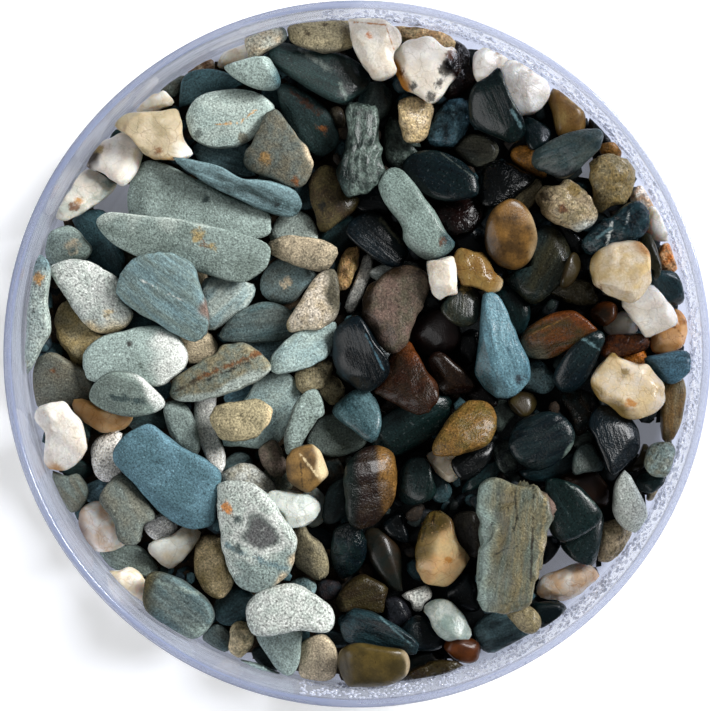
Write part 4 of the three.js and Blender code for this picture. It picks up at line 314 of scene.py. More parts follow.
# Specks: name, how far their noise is moved, and what the tone is multiplied by and lifted by. The
# light specks are partly pale grains and partly painted glints: their lift makes pale dots show even
# on the darkest wet stones.
SPECKS_AND_GLINTS = (("dark", 31.0, 0.4, 0.0), ("light", 57.0, 1.6, 0.025))
SPECK_BORDER, SPECK_GAIN, SPECK_SOFT = 0.72, 0.42, 0.05
# How far specks and stains cover the tone, and where stains begin and are full and how ragged
MARK_COVER, STAIN_BORDER = 0.85, (0.20, 0.95)
RAGGED_SIZE, RAGGED_GAIN = 0.5, 1.4
# Height of mottle and lines against the grain, and how closely and how far cracks bend and how wide
# they are
COARSE_RISE, CRACK_SCALE, CRACK_BEND, CRACK_WIDTH = 1.5, 0.6, 2.2, 0.035
# Gloss: how uneven it is, how strong, and the strength and roughness of the water's coat. Glow: how
# far red, green and blue light goes below the surface, and the scale of that.
UNEVEN_GLOSS, STONE_SPECULAR, WATER_COAT, COAT_ROUGHNESS = 0.08, 0.22, 0.12, 0.07
GLOW_RADIUS, GLOW_SCALE = (1.0, 0.7, 0.45), 0.002

# Plastic. Rim: how far under the top its haze starts and is full, and how strong it is. Sizes of
# the water film's waves, the drops and the lines around the wall, with how far drops and lines are
# drawn out and where in their noise they start and are full. Mirror: least, most, and how fast it
# grows. What drops and water leave of mirror and lines. Roughness of the mirror and of the haze.
# Facing: where the haze starts and is full, and its least.
RIM_LOW, RIM_FULL, RIM_HAZE = 1.6, 0.4, 0.34
FILM_SIZE, DROP_SIZE, RING_SIZE = 0.9, 0.22, 0.3
DROP_STRETCH, DROP_BORDER = 0.14, (0.34, 0.50)
RING_STRETCH, RING_BORDER = 0.03, (0.46, 0.62)
LEAST_MIRROR, MOST_MIRROR, MIRROR_POWER = 0.04, 0.85, 5
DROP_LEAVES, WATER_LEAVES = 0.12, 0.2
MIRROR_ROUGHNESS, HAZE_ROUGHNESS = 0.04, 0.12
FACING_LOW, FACING_FULL, LEAST_HAZE = 0.15, 0.8, 0.15

# Water beads: the colour of their painted sheen, a pale diffuse colour that stands in for the light
# they reflect and bend, roughness, and how pale they are face on and at their outline
BEAD_SHEEN_COLOUR, BEAD_ROUGHNESS = (0.74, 0.78, 0.90, 1), 0.05
BEAD_CLEAR, BEAD_SHEEN_AT_OUTLINE = 0.15, 0.75


# The stones of the top layer: name, kind, two tones that the mottle mixes, and marks, each with its
# tone. side: heading in degrees, 0 to the right and 90 up, and the shares of the way there at which
# it starts and is full. spot: middle and radius. vein: two ends and half its width. Lengths are in
# millimetres on the dish, and an indented line goes on with the row above it. Some sides are painted
# light and shade rather than the stone's own colour: the lighter upper border of long_grey_flat, the
# lighter right border of blue_grey_triangle, the lighter lower right rim of dark_disc, the darker
# upper left border of large_blue_grey, and the darker lower left and lighter right of brown_egg. The
# darker upper left of golden_quartz is partly its own colour and partly painted shade.
NAMED_STONES = """\
dark_green_slab slate bottle charcoal vein,-7.4,39.4,-3.5,36.8,0.32,lead vein,-2.2,35,-1.4,33.1,0.255,moss
long_green_grey greywacke sage moss spot,-15.1,21.9,0.8,rust spot,-19.7,19.9,0.5,charcoal
ochre_stained_quartz quartz ivory pale_sage spot,-36.3,19.9,0.5,ochre spot,-36.8,19,0.5,rust
  spot,-32.5,22.4,0.9,sage
streaked_navy_lump crinkled ink petrol vein,33,17.1,32.3,14.2,0.19,mist vein,31,15,32.8,16.3,0.16,steel
  vein,35.1,18.4,34.8,16.8,0.125,mist
dark_rounded_triangle slate ink jet
red_brown_pebble sandstone red_brown umber side,45,0.3,1.2,rust
rust_edged_quartz quartz snow ivory side,350,0.6,0.82,maroon side,205,0.75,1.0,ochre spot,7.3,34.6,0.5,jet
  spot,11.7,36.5,0.9,jet spot,9.6,33.3,0.6,jet spot,10.6,35,0.5,maroon spot,5.8,36.3,0.5,rust
  spot,12.1,38.8,0.5,rust
pale_blue_oval greywacke sage steel side,200,0.5,1.1,moss
dark_green_oval slate bottle charcoal vein,27.1,-16.6,30.7,-19.3,0.1,moss
navy_blade layered ink petrol vein,3,-34.2,7.5,-38.1,0.125,steel
white_quartz_chip quartz mist pale_sage
rust_layered_slab layered olive rust side,70,0.35,0.8,rust vein,22.1,2.3,27.5,4.9,0.1,tan
  side,250,0.4,0.8,taupe
brown_stained_quartz quartz snow ivory side,165,0.42,0.85,umber side,80,0.8,1.2,gold
  spot,-33.5,26.7,0.6,gold
golden_quartz quartz cream peach side,150,0.1,0.7,bronze side,110,0.75,1.1,olive
  vein,9.2,-21.4,8.4,-24.6,0.165,olive vein,10.4,-19.8,9.8,-21.9,0.19,umber spot,11.8,-26.9,0.5,ochre
pitted_olive_oval sandstone sand khaki side,270,0.4,1.0,taupe spot,-6.3,41.3,0.3,umber
  spot,-4.1,42.5,0.3,umber
beige_quartz_block quartz beige sand side,270,0.75,1.1,ochre side,330,0.6,1.0,milk
  spot,-25.6,26.1,0.6,rust
speckled_olive_oval granite beige pale_sage side,20,0.5,1.0,lead
large_green_oval slate lead petrol side,170,0.4,1.1,olive vein,-26,-29.5,-20.7,-31.2,0.255,moss
  side,280,0.6,1.0,moss
glittering_tan_quartzite quartzite beige sand spot,24.3,20.5,0.8,umber spot,26.6,18.9,0.6,rust
  spot,28.2,21.2,1,gold side,300,0.6,1.1,mist
pale_grey_oval greywacke sage sage side,0,0.1,0.7,mist spot,-29.6,1.2,0.3,maroon
  vein,-29.2,0.3,-27.7,-2.3,0.255,moss
dark_grey_oval slate ink bottle vein,10.8,26.1,15.1,22.8,0.1,lead
blue_teardrop layered sky denim side,190,0.3,0.9,petrol spot,21.1,-3.3,0.6,mauve
  vein,18.9,4.2,19.4,1.2,0.32,sky
pale_green_oval greywacke sage pale_sage vein,-18.3,29.7,-15.3,29.9,0.1,ochre
  vein,-15.3,29.9,-13,31.7,0.1,ochre spot,-15,28,0.6,taupe spot,-20.7,28.5,0.6,lead
pale_speckled_pebble granite mist pale_sage side,280,0.6,1.0,cream spot,-32.4,5.3,0.6,cream
  vein,-34.6,4.2,-30.5,5.7,0.1,khaki
white_ochre_quartz quartz ivory milk side,225,0.6,1.0,ochre spot,-40.8,-7.8,0.4,ochre
ribbed_teal_bark bark moss bottle side,190,0.2,0.9,bottle
dark_disc layered ink charcoal side,330,0.9,1.02,moss
pitted_band_slab sandstone khaki moss vein,-23.8,-4.9,-20.2,-3.1,0.255,umber
  vein,-20.2,-3.1,-12.2,0.3,0.32,rust vein,-19.6,-3.5,-13.7,-1,0.19,jet side,290,0.4,0.65,pale_sage
brown_egg jasper tan umber side,200,0.3,1.1,umber side,0,0.55,1.1,beige
brown_ridged_pebble sandstone dusk taupe side,185,0.5,0.9,umber side,100,0.7,1.0,umber
tall_brown_olive sandstone umber maroon side,10,0.3,0.8,tan side,180,0.3,0.9,bottle
speckled_grey_wedge granite moss sage side,170,0.5,1.0,lead
sandy_golden_pebble sandstone bronze tan side,250,0.4,1.2,tan
long_dark_pebble layered lead petrol side,270,0.3,1.0,ink
speckled_wall_stone granite pale_sage sage spot,-41,9.8,0.8,ochre side,90,0.5,1.0,steel
  spot,-43.1,-1.3,0.5,gold
long_grey_flat greywacke moss sage side,90,0.55,1.0,pale_sage spot,-20.6,15,1,gold
  spot,-19.8,14.3,0.6,rust spot,-18.6,13.8,0.6,gold
large_blue_grey greywacke denim petrol side,150,0.8,1.3,petrol side,300,0.9,1.4,petrol
dark_green_triangle slate bottle ink vein,18.5,35.9,20.4,31.5,0.16,lead vein,20,31.2,21.2,29.2,0.19,steel
speckled_half_moon granite mist pale_sage
large_olive_oval jasper bronze olive side,0,0.85,1.05,beige side,90,0.7,1.2,umber
speckled_cream_triangle granite beige ivory side,10,0.35,0.85,taupe side,190,0.8,1.1,sand
cream_quartz_lump quartz ivory milk spot,1.7,41,0.4,orange vein,-0.6,42.8,3.7,42.3,0.1,ochre
  vein,3.7,42.3,4.8,39.2,0.1,ochre
two_tone_blade layered charcoal steel side,70,0.2,0.7,steel spot,-10.4,19.2,0.4,jet
dark_blue_oval slate ink charcoal vein,28.5,2.4,31.3,0.6,0.16,steel
granular_brown_triangle sandstone taupe lead spot,-7.9,22.4,0.5,rust spot,-11.8,25.4,0.8,tan
  side,20,0.75,1.0,beige
orange_layered_pebble jasper tan umber side,10,0.4,0.7,cream vein,-7.2,-12.9,-4.9,-15.9,0.16,cream
  vein,-7.2,-13.8,-7,-17.1,0.095,umber
pale_teal_bean greywacke sage moss side,330,0.75,1.05,petrol spot,10.9,14.4,0.4,rust side,250,0.6,1.1,lead
teal_tipped_teardrop greywacke sage moss side,350,0.35,1.0,petrol
tan_lump quartz tan gold side,330,0.6,1.1,beige
cream_lumpy_quartz quartz ivory cream spot,34.5,-2.3,0.5,gold spot,35.4,-6.4,0.6,ochre
  side,230,0.6,1.0,gold side,90,0.8,1.1,gold
black_blue_pebble slate ink jet vein,1.2,2.6,3.6,-2.3,0.115,denim
banded_grey_wedge greywacke moss lead side,30,0.45,0.8,mist vein,-31.4,-5.6,-27.8,-6.1,0.445,charcoal
layered_tan_slab slab khaki moss side,180,0.3,1.0,sage side,0,0.6,1.2,dusk
  vein,20.4,-17.4,20.6,-21.3,0.165,jet vein,20.6,-21.3,19.5,-24.8,0.165,jet
  vein,19.5,-24.8,17.7,-25.9,0.165,jet vein,22.8,-16.9,22.4,-29,0.125,umber
  vein,24.2,-18.4,23.7,-26.4,0.255,sand
blue_grey_triangle layered steel moss side,0,0.85,1.1,dusk vein,-27.8,9.6,-22.6,7,0.1,mist
tan_oval sandstone khaki sand side,0,0.7,1.1,cream
ochre_cream_pebble quartz cream ivory side,40,0.75,1.2,ochre side,180,0.7,1.1,gold spot,31.3,8.3,0.5,rust
banded_eye_stone granite pale_sage mist side,290,0.25,0.6,sage side,330,0.85,1.05,beige
  vein,-16.5,-24.8,-9,-27.9,0.445,steel spot,-12.4,-23.3,3.2,mist spot,-15.2,-21.3,0.6,charcoal
  spot,-15.3,-25,0.6,charcoal spot,-12.5,-23.1,2.3,lead spot,-12.4,-23.2,1.8,mauve
  spot,-16.9,-19.6,0.9,orange
white_quartz_cube quartz ivory milk
"""

# The small stones, lowest first: name, kind, two tones, thickness and how square the edge is, marks
# as above, and the outline seen from above, in tenths of a millimetre: the first point of a smooth
# closed curve and the steps from each point to the next
SMALL_STONES = """\
black_small granite jet ink 2.8 2.3 308,311 8,-4 9,-10 8,-9 7,-11 -8,-6 -13,4 -11,9 -5,15
wall_chip_left granite mist steel 2.4 2.6 -426,164 12,4 8,-12 -6,-13 -11,5
ochre_behind jasper olive umber 2.8 2.4 353,-152 15,16 8,18 8,-11 -5,-15 -13,-11
small_brown sandstone taupe umber 2.4 2.3 -38,320 13,3 7,-13 -2,-13 -11,0 -7,13
brown_wall_right sandstone taupe beige 2.8 2.4 379,-191 8,18 18,7 -1,-17 -13,-12
speckled_black granite moss taupe 2.6 2.3 -262,348 7,11 13,7 13,0 -5,-22 -13,-8
small_grey_right slate moss lead 2.6 2.3 280,-115 8,15 18,-5 -1,-13 -15,-7
grey_blue_low slate petrol lead 2.6 2.3 -182,-155 13,19 18,5 11,-11 -5,-13 -21,-7
navy_small slate charcoal mauve 2.6 2.3 79,72 16,11 15,-11 3,-15 -18,-8 -13,8
blue_rim_disc slate petrol ink 2.8 2.3 212,-152 33,5 26,15 15,3 0,-13 -9,-18 -26,-8 -26,3
ochre_round quartzite peach orange 3.2 2.3 393,127 6,16 15,4 11,-16 -4,-19 -13,-6 -12,7
grey_blue_wall slate lead petrol 2.8 2.3 -205,-374 19,16 16,-13 -2,-22 -17,-11 -14,9
dark_green_low slate jet bottle 2.8 2.3 53,-402 18,10 26,0 16,-13 -26,-16 -26,3
black_centre slate jet ink 3 2.3 -7,205 26,13 16,-5 10,-23 -18,-11 -26,8
brown_gap sandstone umber charcoal 2.6 2.4 -49,-134 18,-2 13,-19 -10,-15 -16,2
pink_chip quartzite beige rust 2.6 2.6 -228,375 9,8 8,6 9,3 8,-3 4,-9 0,-13 -15,-2 -16,2
blue_speck_small slate ink petrol 2.6 2.3 -273,-40 15,8 13,-16 -10,-13 -16,6
blue_dot slate petrol ink 2.4 2.4 -82,-367 15,4 2,-17 -13,-8
teal_under slate petrol petrol 2.8 2.3 -125,346 19,3 10,-13 -2,-13 -16,-1 -11,11
maroon crinkled maroon jet 3 2.3 123,410 17,-8 7,-13 5,-19 0,-13 -12,-13 -19,-9 -6,22 16,26
shadow_low slate charcoal jet 2.8 2.3 -140,-395 21,8 15,-15 -2,-16 -21,3
deep_teal_low slate jet ink 3 2.3 118,-311 21,23 16,-18 5,-29 -18,-5 -21,11
glossy_sliver slate jet ink 2.6 2.3 258,172 17,-6 19,-18 4,-16 -18,0 -13,19
blue_dark_low slate ink bottle 2.8 2.3 -71,-234 19,4 16,-8 3,-16 -13,-5 -19,8
taupe_gap sandstone khaki moss 2.6 2.4 -125,-157 24,2 16,-15 -8,-13 -24,2
beige_round greywacke beige khaki 3.2 2.3 -239,18 31,13 16,-11 6,-15 -13,-13 -20,-6 -13,8
mauve_slab slate mauve taupe 2.8 2.5 126,-217 18,8 16,-8 2,-29 -7,-23 -19,13 -8,21
blue_grey_gap slate denim petrol 2.6 2.3 -177,-58 13,13 26,3 6,-11 -16,-13 -21,-3
green_large_low slate charcoal petrol 3 2.3 -187,-327 21,18 26,-13 0,-23 -16,-12 -21,-1 -10,10
navy_gap slate ink jet 2.8 2.3 123,158 26,8 19,-13 -3,-34 -21,0 -18,16
dark_teal_centre slate bottle petrol 3 2.3 -54,153 21,21 26,5 8,-26 -21,-18 -21,3
grey_green_gap slate bottle charcoal 2.6 2.3 -307,-84 31,8 26,-3 3,-18 -24,-5 -23,0
brown_low sandstone maroon ink 2.6 2.4 -58,-309 17,10 18,-6 -5,-17 -18,-5
glint_small slate lead moss 2.6 2.6 178,-66 16,3 13,-13 -11,-16 -10,-13 -8,16
dark_gap_low slate jet umber 2.8 2.3 27,-61 23,3 11,-13 -13,-11 -19,6
ochre_under_quartz quartzite orange ochre 2.8 2.4 340,-5 14,11 14,1 10,-9 -2,-14 -15,-6 -16,6
teal_gap slate petrol ink 2.8 2.3 -85,216 18,10 13,-13 -5,-21 -19,-2
taupe_left sandstone charcoal lead 2.6 2.4 -331,101 16,0 8,-21 2,-18 -15,3 -8,18
deep_teal_left slate petrol charcoal 2.8 2.3 -328,20 8,21 23,11 29,-11 10,-13 -26,-13 -28,-3
green_gap slate bottle charcoal 2.6 2.3 -391,-157 21,15 16,-10 -3,-13 -18,-3
teal_centre slate sky steel 2.8 2.3 -149,15 32,8 29,-5 -10,-19 -19,-13 -21,11
golden_brown sandstone ochre tan 2.8 2.3 202,264 9,8 19,-4 16,-23 -1,-16 -23,10 -18,13
olive_under_triangle sandstone khaki beige 2.6 2.4 -221,109 16,3 7,-21 -7,-21 -14,10
brown_under_flat sandstone umber taupe 2.6 2.4 -312,132 23,3 8,-10 -11,-16 -15,8
green_dark_left_low slate moss lead 2.8 2.3 -346,-267 23,16 30,-4 18,-17 10,-16 -16,-7 -34,7
mauve_wedge slate mauve ink 2.8 2.5 35,-327 20,3 15,-16 -4,-15 -24,-8 -7,15
quartz_small_right quartz snow ivory 3 2.8 320,35 12,11 18,9 13,-14 3,-13 -21,-6 -17,1
blue_slate slate petrol steel 2.8 2.4 -211,276 64,2 2,-32 11,-9 -22,-4 -30,9 -22,10
deep_gap slate jet ink 2.8 2.3 128,15 19,16 15,-8 -2,-26 -18,-13 -14,13
teal_wedge slate petrol steel 2.8 2.4 95,-157 18,-8 10,-16 -8,-15 -15,2 -8,19
teal_blue_small slate sky denim 2.8 2.3 -362,-178 16,10 17,0 -2,-18 -15,-13 -13,5
ochre_small quartzite snow peach 2.8 2.4 357,204 11,17 12,-1 9,-16 -1,-13 -20,-1
mauve_low slate petrol mauve 2.6 2.4 -59,-374 23,8 24,-9 -6,-12 -23,0
teal_shard slate bottle petrol 2.6 2.4 136,-183 11,18 18,16 18,7 5,-10 -13,-16 -20,-10
red_brown_disc jasper red_brown umber 3.2 2.3 264,-165 16,10 26,2 16,-15 9,-15 -7,-19 -18,0 -24,11
dark_blue_left slate petrol ink 3 2.3 -376,175 17,10 23,1 13,-14 13,-34 4,-19 -9,-21 -21,14 -21,15 -8,26
ochre_quartz_hole quartzite cream peach 3.2 2.6 spot,10.4,41.7,0.3,umber vein,6.6,42.5,8.2,43.2,0.14,ochre
  vein,10.8,40.9,12.1,40.4,0.14,ochre 38,434 11,1 19,-3 20,3 16,-1 13,-8 8,-12 5,-12 -16,-5 -19,7 -27,0
  -13,5
green_white_quartz quartz snow ivory 3 2.8 151,387 9,11 9,2 13,-7 13,-8 -4,-15 -16,-13 -15,-5 -8,11
dark_olive_wedge slate jet maroon 2.6 2.4 142,-50 18,10 15,-8 8,-18 -13,-5 -21,8
dark_green_back slate ink bottle 3 2.3 215,310 33,-16 0,-16 -18,-13 -10,11
olive_dark jasper maroon jet 3.2 2.3 66,28 18,21 24,8 20,-16 6,-23 -19,-19 -28,-5 -19,16
speckled_teal_low granite steel moss 2.6 2.4 -91,-305 21,10 15,-11 -7,-16 -18,0
dark_cluster crinkled ink lead 2.8 2.3 178,-123 18,8 16,-11 3,-23 -21,-8 -13,13
dark_blue_low slate ink bottle 3 2.3 58,-361 18,16 21,-8 18,-21 -10,-15 -29,0 -18,10
pale_quartz_right quartz snow snow 3 2.8 378,190 17,2 13,-26 1,-18 -25,3 -8,18
brown_wet_chip sandstone ochre tan 2.6 2.6 316,272 16,3 13,-3 1,-7 -6,-11 -21,4
green_under_round slate charcoal bottle 2.6 2.4 363,-165 13,10 26,-5 3,-13 -21,-8 -16,3
maroon_granular crinkled maroon rust 2.8 2.4 316,1 8,21 25,3 26,-2 4,-16 -21,-8 -26,-5
brown_bead sandstone khaki sand 3 2.2 -50,-47 10,16 15,-4 7,-14 -4,-12 -13,-8 -12,11
brown_wall_oval layered khaki tan 3.8 2.3 404,-34 12,5 10,-6 5,-22 -4,-25 -9,-20 -10,-15 -8,6 -2,25 0,29
speckled_sliver granite milk mist 3 2.3 -17,58 3,16 13,30 10,27 8,-4 1,-20 -9,-24 -12,-24 -7,-5
pale_small_round greywacke snow mist 3 2.3 -282,-231 10,12 14,7 16,-11 1,-10 -8,-9 -19,-5
tan_pebble jasper tan gold 3.6 2.2 259,348 7,-1 11,-6 12,-10 6,-12 2,-13 -3,-16 -15,-3 -16,-2 -5,11 -4,20
  -5,15 4,13
mottled_grey_round greywacke lead steel 3.6 2.3 spot,-9.4,9.3,0.8,beige -128,88 4,17 17,18 20,5 18,-9
  13,-15 -18,-24 -14,-14 -18,0 -16,8
navy_layered_wall layered steel ink 3.2 2.4 152,-365 18,19 28,12 20,-13 19,-3 4,-8 -12,-10 -29,-18 -24,-8
  -14,7
dark_lens slate bottle petrol 3 2.3 181,79 15,9 15,-5 13,-20 0,-19 -13,-23 -18,20
olive_grey_oval slate lead taupe 3.2 2.2 127,267 6,10 13,9 20,-1 13,-8 5,-10 -5,-12 -13,-9 -13,-1 -13,9
dark_stone_floor slate ink jet 3 2.4 241,-247 17,6 8,-10 -11,-18 -14,-8
grey_speckled_chip granite steel lead 3 2.6 216,-43 6,27 14,7 19,-17 5,-12 -5,-10 -11,-6 -20,5
granular_sandstone sandstone sand gold 3.4 2.4 -399,41 3,17 13,11 19,-20 18,-21 17,-10 -19,-16 -9,-15
  -16,-4 -9,16 -13,19
navy_edge_lit slate jet ink 3 2.4 32,-228 16,18 10,-1 7,-20 1,-18 -15,3
blue_white_chip granite mist milk 2.8 3 58,-320 15,8 18,5 7,-13 -11,-10 -4,-9 -10,0 -4,11
grey_green_small slate khaki taupe 2.8 2.3 196,201 14,18 19,9 11,-5 -3,-15 -13,-18 -15,-1
dark_olive_glossy crinkled olive taupe 3 2.3 247,83 21,9 18,6 16,-4 11,-14 2,-13 -16,-5 -20,5
teal_wrinkled bark moss bottle 3 2.5 34,293 6,13 9,5 9,-29 13,-10 15,-8 -15,-10 -15,-9 -16,6 -6,22
salmon_quartz quartz peach ochre 3.6 2.7 vein,39.8,4.7,41.3,3.6,0.1,rust vein,41.3,3.6,42.6,2.1,0.09,rust
  385,15 4,17 19,11 6,15 13,-9 10,-15 -7,-19 -12,-11 -20,-5 -12,5
olive_oval_low jasper umber bottle 3.4 2.2 7,-241 14,10 15,-7 17,-21 5,-20 -1,-19 5,-12 -19,-1 -24,34
olive_gold_small quartzite beige sand 3.2 2.4 315,-271 4,34 6,15 16,0 19,-13 -5,-18 -14,-14 -18,-8
quartz_on_floor quartz milk peach 3.6 2.6 236,-310 8,16 22,9 23,9 15,0 15,-17 -15,-13 -25,-17 -25,-3 -14,3
cream_brown_chip quartz snow cream 3.2 2.7 -186,373 1,10 5,21 5,6 13,2 11,0 6,-7 3,-11 -2,-9 -10,-4 -13,-6
grey_green_cap greywacke lead moss 3.4 2.4 -66,-119 13,30 17,7 23,2 20,-9 10,-16 -10,-18 -20,-9 -27,-1
glassy_green_disc quartz sage mist 2.6 2.3 -70,-181 16,2 11,-13 3,-15 -7,-16 -14,-6 -10,14
pale_green_gap greywacke pale_sage sage 3 2.4 -115,148 5,23 14,14 17,1 17,-9 9,-19 -3,-13 -28,3
striated_slate layered pale_sage steel 3.2 2.5 -199,97 48,-3 15,-11 -10,-21 -18,-15 -21,-15 -12,-1 -4,39
mottled_small granite snow milk 3.2 2.3 -351,-128 8,15 18,8 13,-4 -1,-22 4,-25 -16,-12 -10,0 -12,12
navy_white_streak crinkled denim ink 3.4 2.4 vein,12.3,32.2,13,27.7,0.19,sky 92,277 5,26 11,17 13,11 15,2
  10,-8 0,-22 -6,-19 -13,-11 -10,-2 -16,1
olive_brown_upright sandstone cream gold 3.8 2.3 -215,-255 7,10 18,3 9,-7 10,-26 7,-23 -6,-16 -13,-9 -15,7
  -13,18 -4,23
curved_green_stem greywacke snow mist 3 2.4 -216,-69 11,12 19,4 1,-18 -5,-20 7,-20 8,-21 -2,-21 -12,-3
  -16,32 -9,29
grey_brown_block greywacke taupe lead 3.6 2.6 spot,-39.8,-2.2,0.4,rust -426,-26 9,21 19,5 25,-18 17,-8
  5,-30 -22,-11 -41,-8 -11,14
dark_blue_green slate petrol petrol 3.2 2.3 -232,306 0,28 3,21 8,10 13,4 18,1 19,-4 14,-7 6,-12 -35,-9
  -20,-9 -13,-16
blue_band_back slate petrol mist 2.8 2.3 14,104 13,10 24,5 23,0 8,-13 -21,-13 -26,-2
dark_pebble_right slate charcoal petrol 3.2 2.3 381,97 13,10 20,-2 13,-17 4,-14 -9,-9 -14,-2 -16,9
rough_crinkled crinkled umber charcoal 3.4 2.6 267,-57 22,9 18,-8 4,-22 -18,-27 -11,4 -5,18
mottled_quartz_low quartz ivory beige 3.2 2.6 91,-133 17,5 23,-2 4,-18 -5,-15 -11,-5 -14,10 -10,13
teal_grey_large greywacke sage steel 3.6 2.4 -144,-56 18,25 26,5 16,-9 9,-18 -3,-20 -13,-22 -13,-20 -22,-8
  -25,1 -26,8
ochre_chip_top quartz snow cream 3 2.7 -297,325 7,6 19,11 11,-1 6,3 7,-7 5,-11 -13,-5 -13,-6 -17,-2 -8,4
dark_slab_centre slate bottle charcoal 3.4 2.4 21,-123 9,37 26,16 50,14 15,-11 -7,-26 -31,-26 -36,-16
ochre_sliver quartzite peach gold 3.2 2.3 -28,85 3,28 11,22 13,6 5,-4 -3,-19 -6,-21 -9,-13 -9,-2
pale_quartz_triangle quartz mist beige 3.2 2.7 -272,-250 31,12 13,11 23,-2 -6,-17 -17,-22 -18,-17 -16,9
  -9,13
olive_layered_chip layered olive umber 3.2 2.6 -28,-336 1,16 18,22 16,7 16,-7 16,-10 -4,-16 -4,-15 -24,3
  -20,-3
pink_brown_wall quartzite sand cream 3.2 2.5 -170,-390 3,25 8,14 19,-10 1,-22 -9,-16 -11,-3
dark_teal_oval crinkled ink bottle 3.4 2.3 -35,-255 4,24 14,9 16,-3 10,-17 0,-25 -10,-19 -16,-11 -11,7
  -7,15
olive_brown_tip jasper olive umber 3 2.3 197,-62 14,11 17,-3 6,-12 -9,-14 -11,-3 -12,9
big_olive_disc slate charcoal olive 3.2 2.2 193,101 31,13 5,39 16,13 18,-5 14,-26 -1,-24 -20,-26 -24,-20
  -18,10
slate_red_band slate bottle charcoal 3.2 2.4 vein,-8.4,33.9,-5,31.3,0.38,red_brown spot,-4.5,29.3,0.6,rust
  -104,342 11,10 19,-10 26,-17 13,-17 9,-21 -1,-13 -11,-10 -12,-6 -17,9 -17,20 -13,22
maroon_black_gloss crinkled maroon jet 3.4 2.4 98,183 10,14 25,6 21,2 12,-4 -7,-28 -13,-16 -22,-4 -16,13
grey_slab_right slate charcoal bottle 3 2.6 267,-245 22,10 23,16 9,8 -2,-20 -8,-40 -8,-5 -18,5 -14,12
beige_lump quartzite cream beige 3.8 2.5 53,326 4,7 14,1 16,-1 9,-9 1,-15 -4,-13 -2,-12 -9,-7 -13,-1 -9,6
  -3,14 -3,17
swirl_grey slate bottle charcoal 3.4 2.4 53,-168 8,23 14,9 16,-4 7,-23 4,-20 -18,-11 -20,-3 -12,13
dark_slate_mid slate jet charcoal 3 2.4 -45,-219 5,38 15,15 16,4 14,-8 -10,-26 -20,-23
grey_tan_lump greywacke beige taupe 3.8 2.5 -76,-409 4,29 24,12 16,-12 5,-19 -5,-26 -21,-12 -13,0 -10,13
green_grey_wall layered moss taupe 3.2 2.4 -408,-162 10,6 15,-7 15,4 13,-16 -2,-17 -11,-15 -13,-2 -11,8
  -13,23
cream_wall_chip quartz snow cream 3.6 2.9 -331,-285 15,-1 16,5 14,-8 9,-15 2,-16 -5,-10 -18,6 -14,14
  -13,16
brown_smeared_lump quartz snow peach 4 2.9 side,200,0.3,1.0,dusk -368,-235 3,24 10,11 17,4 13,-7 16,-13
  6,-21 -6,-16 -19,-7 -19,1 -14,9
red_brown_small jasper rust red_brown 3 2.4 113,-382 13,13 17,-3 16,-10 -2,-27 -24,5 -16,13
blue_grey_under slate lead petrol 3.4 2.3 -181,22 14,22 16,13 27,9 22,-4 18,-13 5,-19 -19,-13 -34,-3 -26,0
grey_green_drop greywacke sage lead 3.4 2.3 -254,-75 9,11 15,-1 11,-14 8,-23 4,-22 -9,-8 -24,18
brown_translucent jasper umber rust 2.8 2.3 304,54 11,12 15,1 9,-8 -2,-12 -14,-11 -15,5
orange_cream_quartz quartz peach ochre 3.2 2.7 -373,-64 9,4 13,-4 12,-7 19,-7 22,-2 -2,-13 -9,-9 -29,-2
  -17,11 -14,11
dark_pebble_wall slate ink bottle 3.2 2.3 228,-328 34,2 11,-8 0,-12 -11,-10 -18,-8 -12,17
white_quartz_slab quartz milk ivory 3.6 2.8 vein,18.1,38.1,19.8,39.1,0.255,gold 188,361 6,20 15,6 15,-2
  9,-7 11,-17 5,-19 -9,-20 -16,-11 -10,-4 -9,12 -9,16
cream_speckled_under granite mist khaki 3.4 2.3 -181,-168 11,15 25,8 22,-11 16,-20 -8,-18 -36,5
glossy_dark crinkled jet jet 3 2.3 161,220 7,25 22,7 25,-14 17,-10 -21,-18 -21,-16 -25,1
olive_brown_cleft sandstone olive umber 3.6 2.5 spot,-4.5,19.3,0.6,jet -61,201 0,23 17,21 22,-9 5,-26
  18,-7 -6,-18 -20,-14 -15,-12 -10,2 -4,20
olive_brown_oval_low sandstone khaki taupe 3.4 2.3 -87,-223 16,-1 8,-14 15,-12 9,-21 -1,-18 -10,-8 -16,7
  -14,10 -7,29
grey_granular_peg sandstone dusk taupe 3 2.5 -128,-124 18,10 12,-17 4,-22 -12,-9 -12,9 -9,16
olive_tan_angular quartzite sand gold 3.6 2.8 303,254 18,5 20,-4 27,-10 -8,-25 -8,-19 -23,-7 -6,-8 -15,0
  -1,25 -3,26
quartz_chip_centre quartzite sand khaki 3 2.8 -82,-31 10,11 33,12 7,-8 -3,-10 -8,-16 -14,-6 -15,-4
dark_pebble_centre slate ink jet 3.6 2.3 vein,3,17.6,5.8,14.2,0.19,taupe -13,161 12,16 18,7 18,-7 18,-24
  12,-16 -3,-11 -9,-13 -22,6 -32,23
blue_green_right slate denim lead 3.2 2.4 374,-9 20,8 24,5 13,-4 4,-16 -8,-11 -23,-11
round_green_teal_spot greywacke moss sage 3.4 2.3 spot,-37.2,14,1,beige spot,-37.2,13.7,0.5,petrol
  -409,153 10,8 20,6 15,-8 9,-11 8,-11 -8,-14 -18,-5 -25,-3 -11,14
dark_olive_wedge_mid slate maroon umber 3.2 2.3 92,-8 16,10 20,-15 18,-17 7,-12 -13,-9 -26,-1 -12,13
thin_green_wall slate sage steel 2.4 2.4 -161,-405 22,0 26,-11 25,-13 -8,-4 -27,7 -22,6
grey_olive_tall greywacke mist pale_sage 3.6 2.4 334,-192 3,22 11,18 12,-15 10,-21 11,-27 -5,-12 -13,-6
  -18,8 -11,18
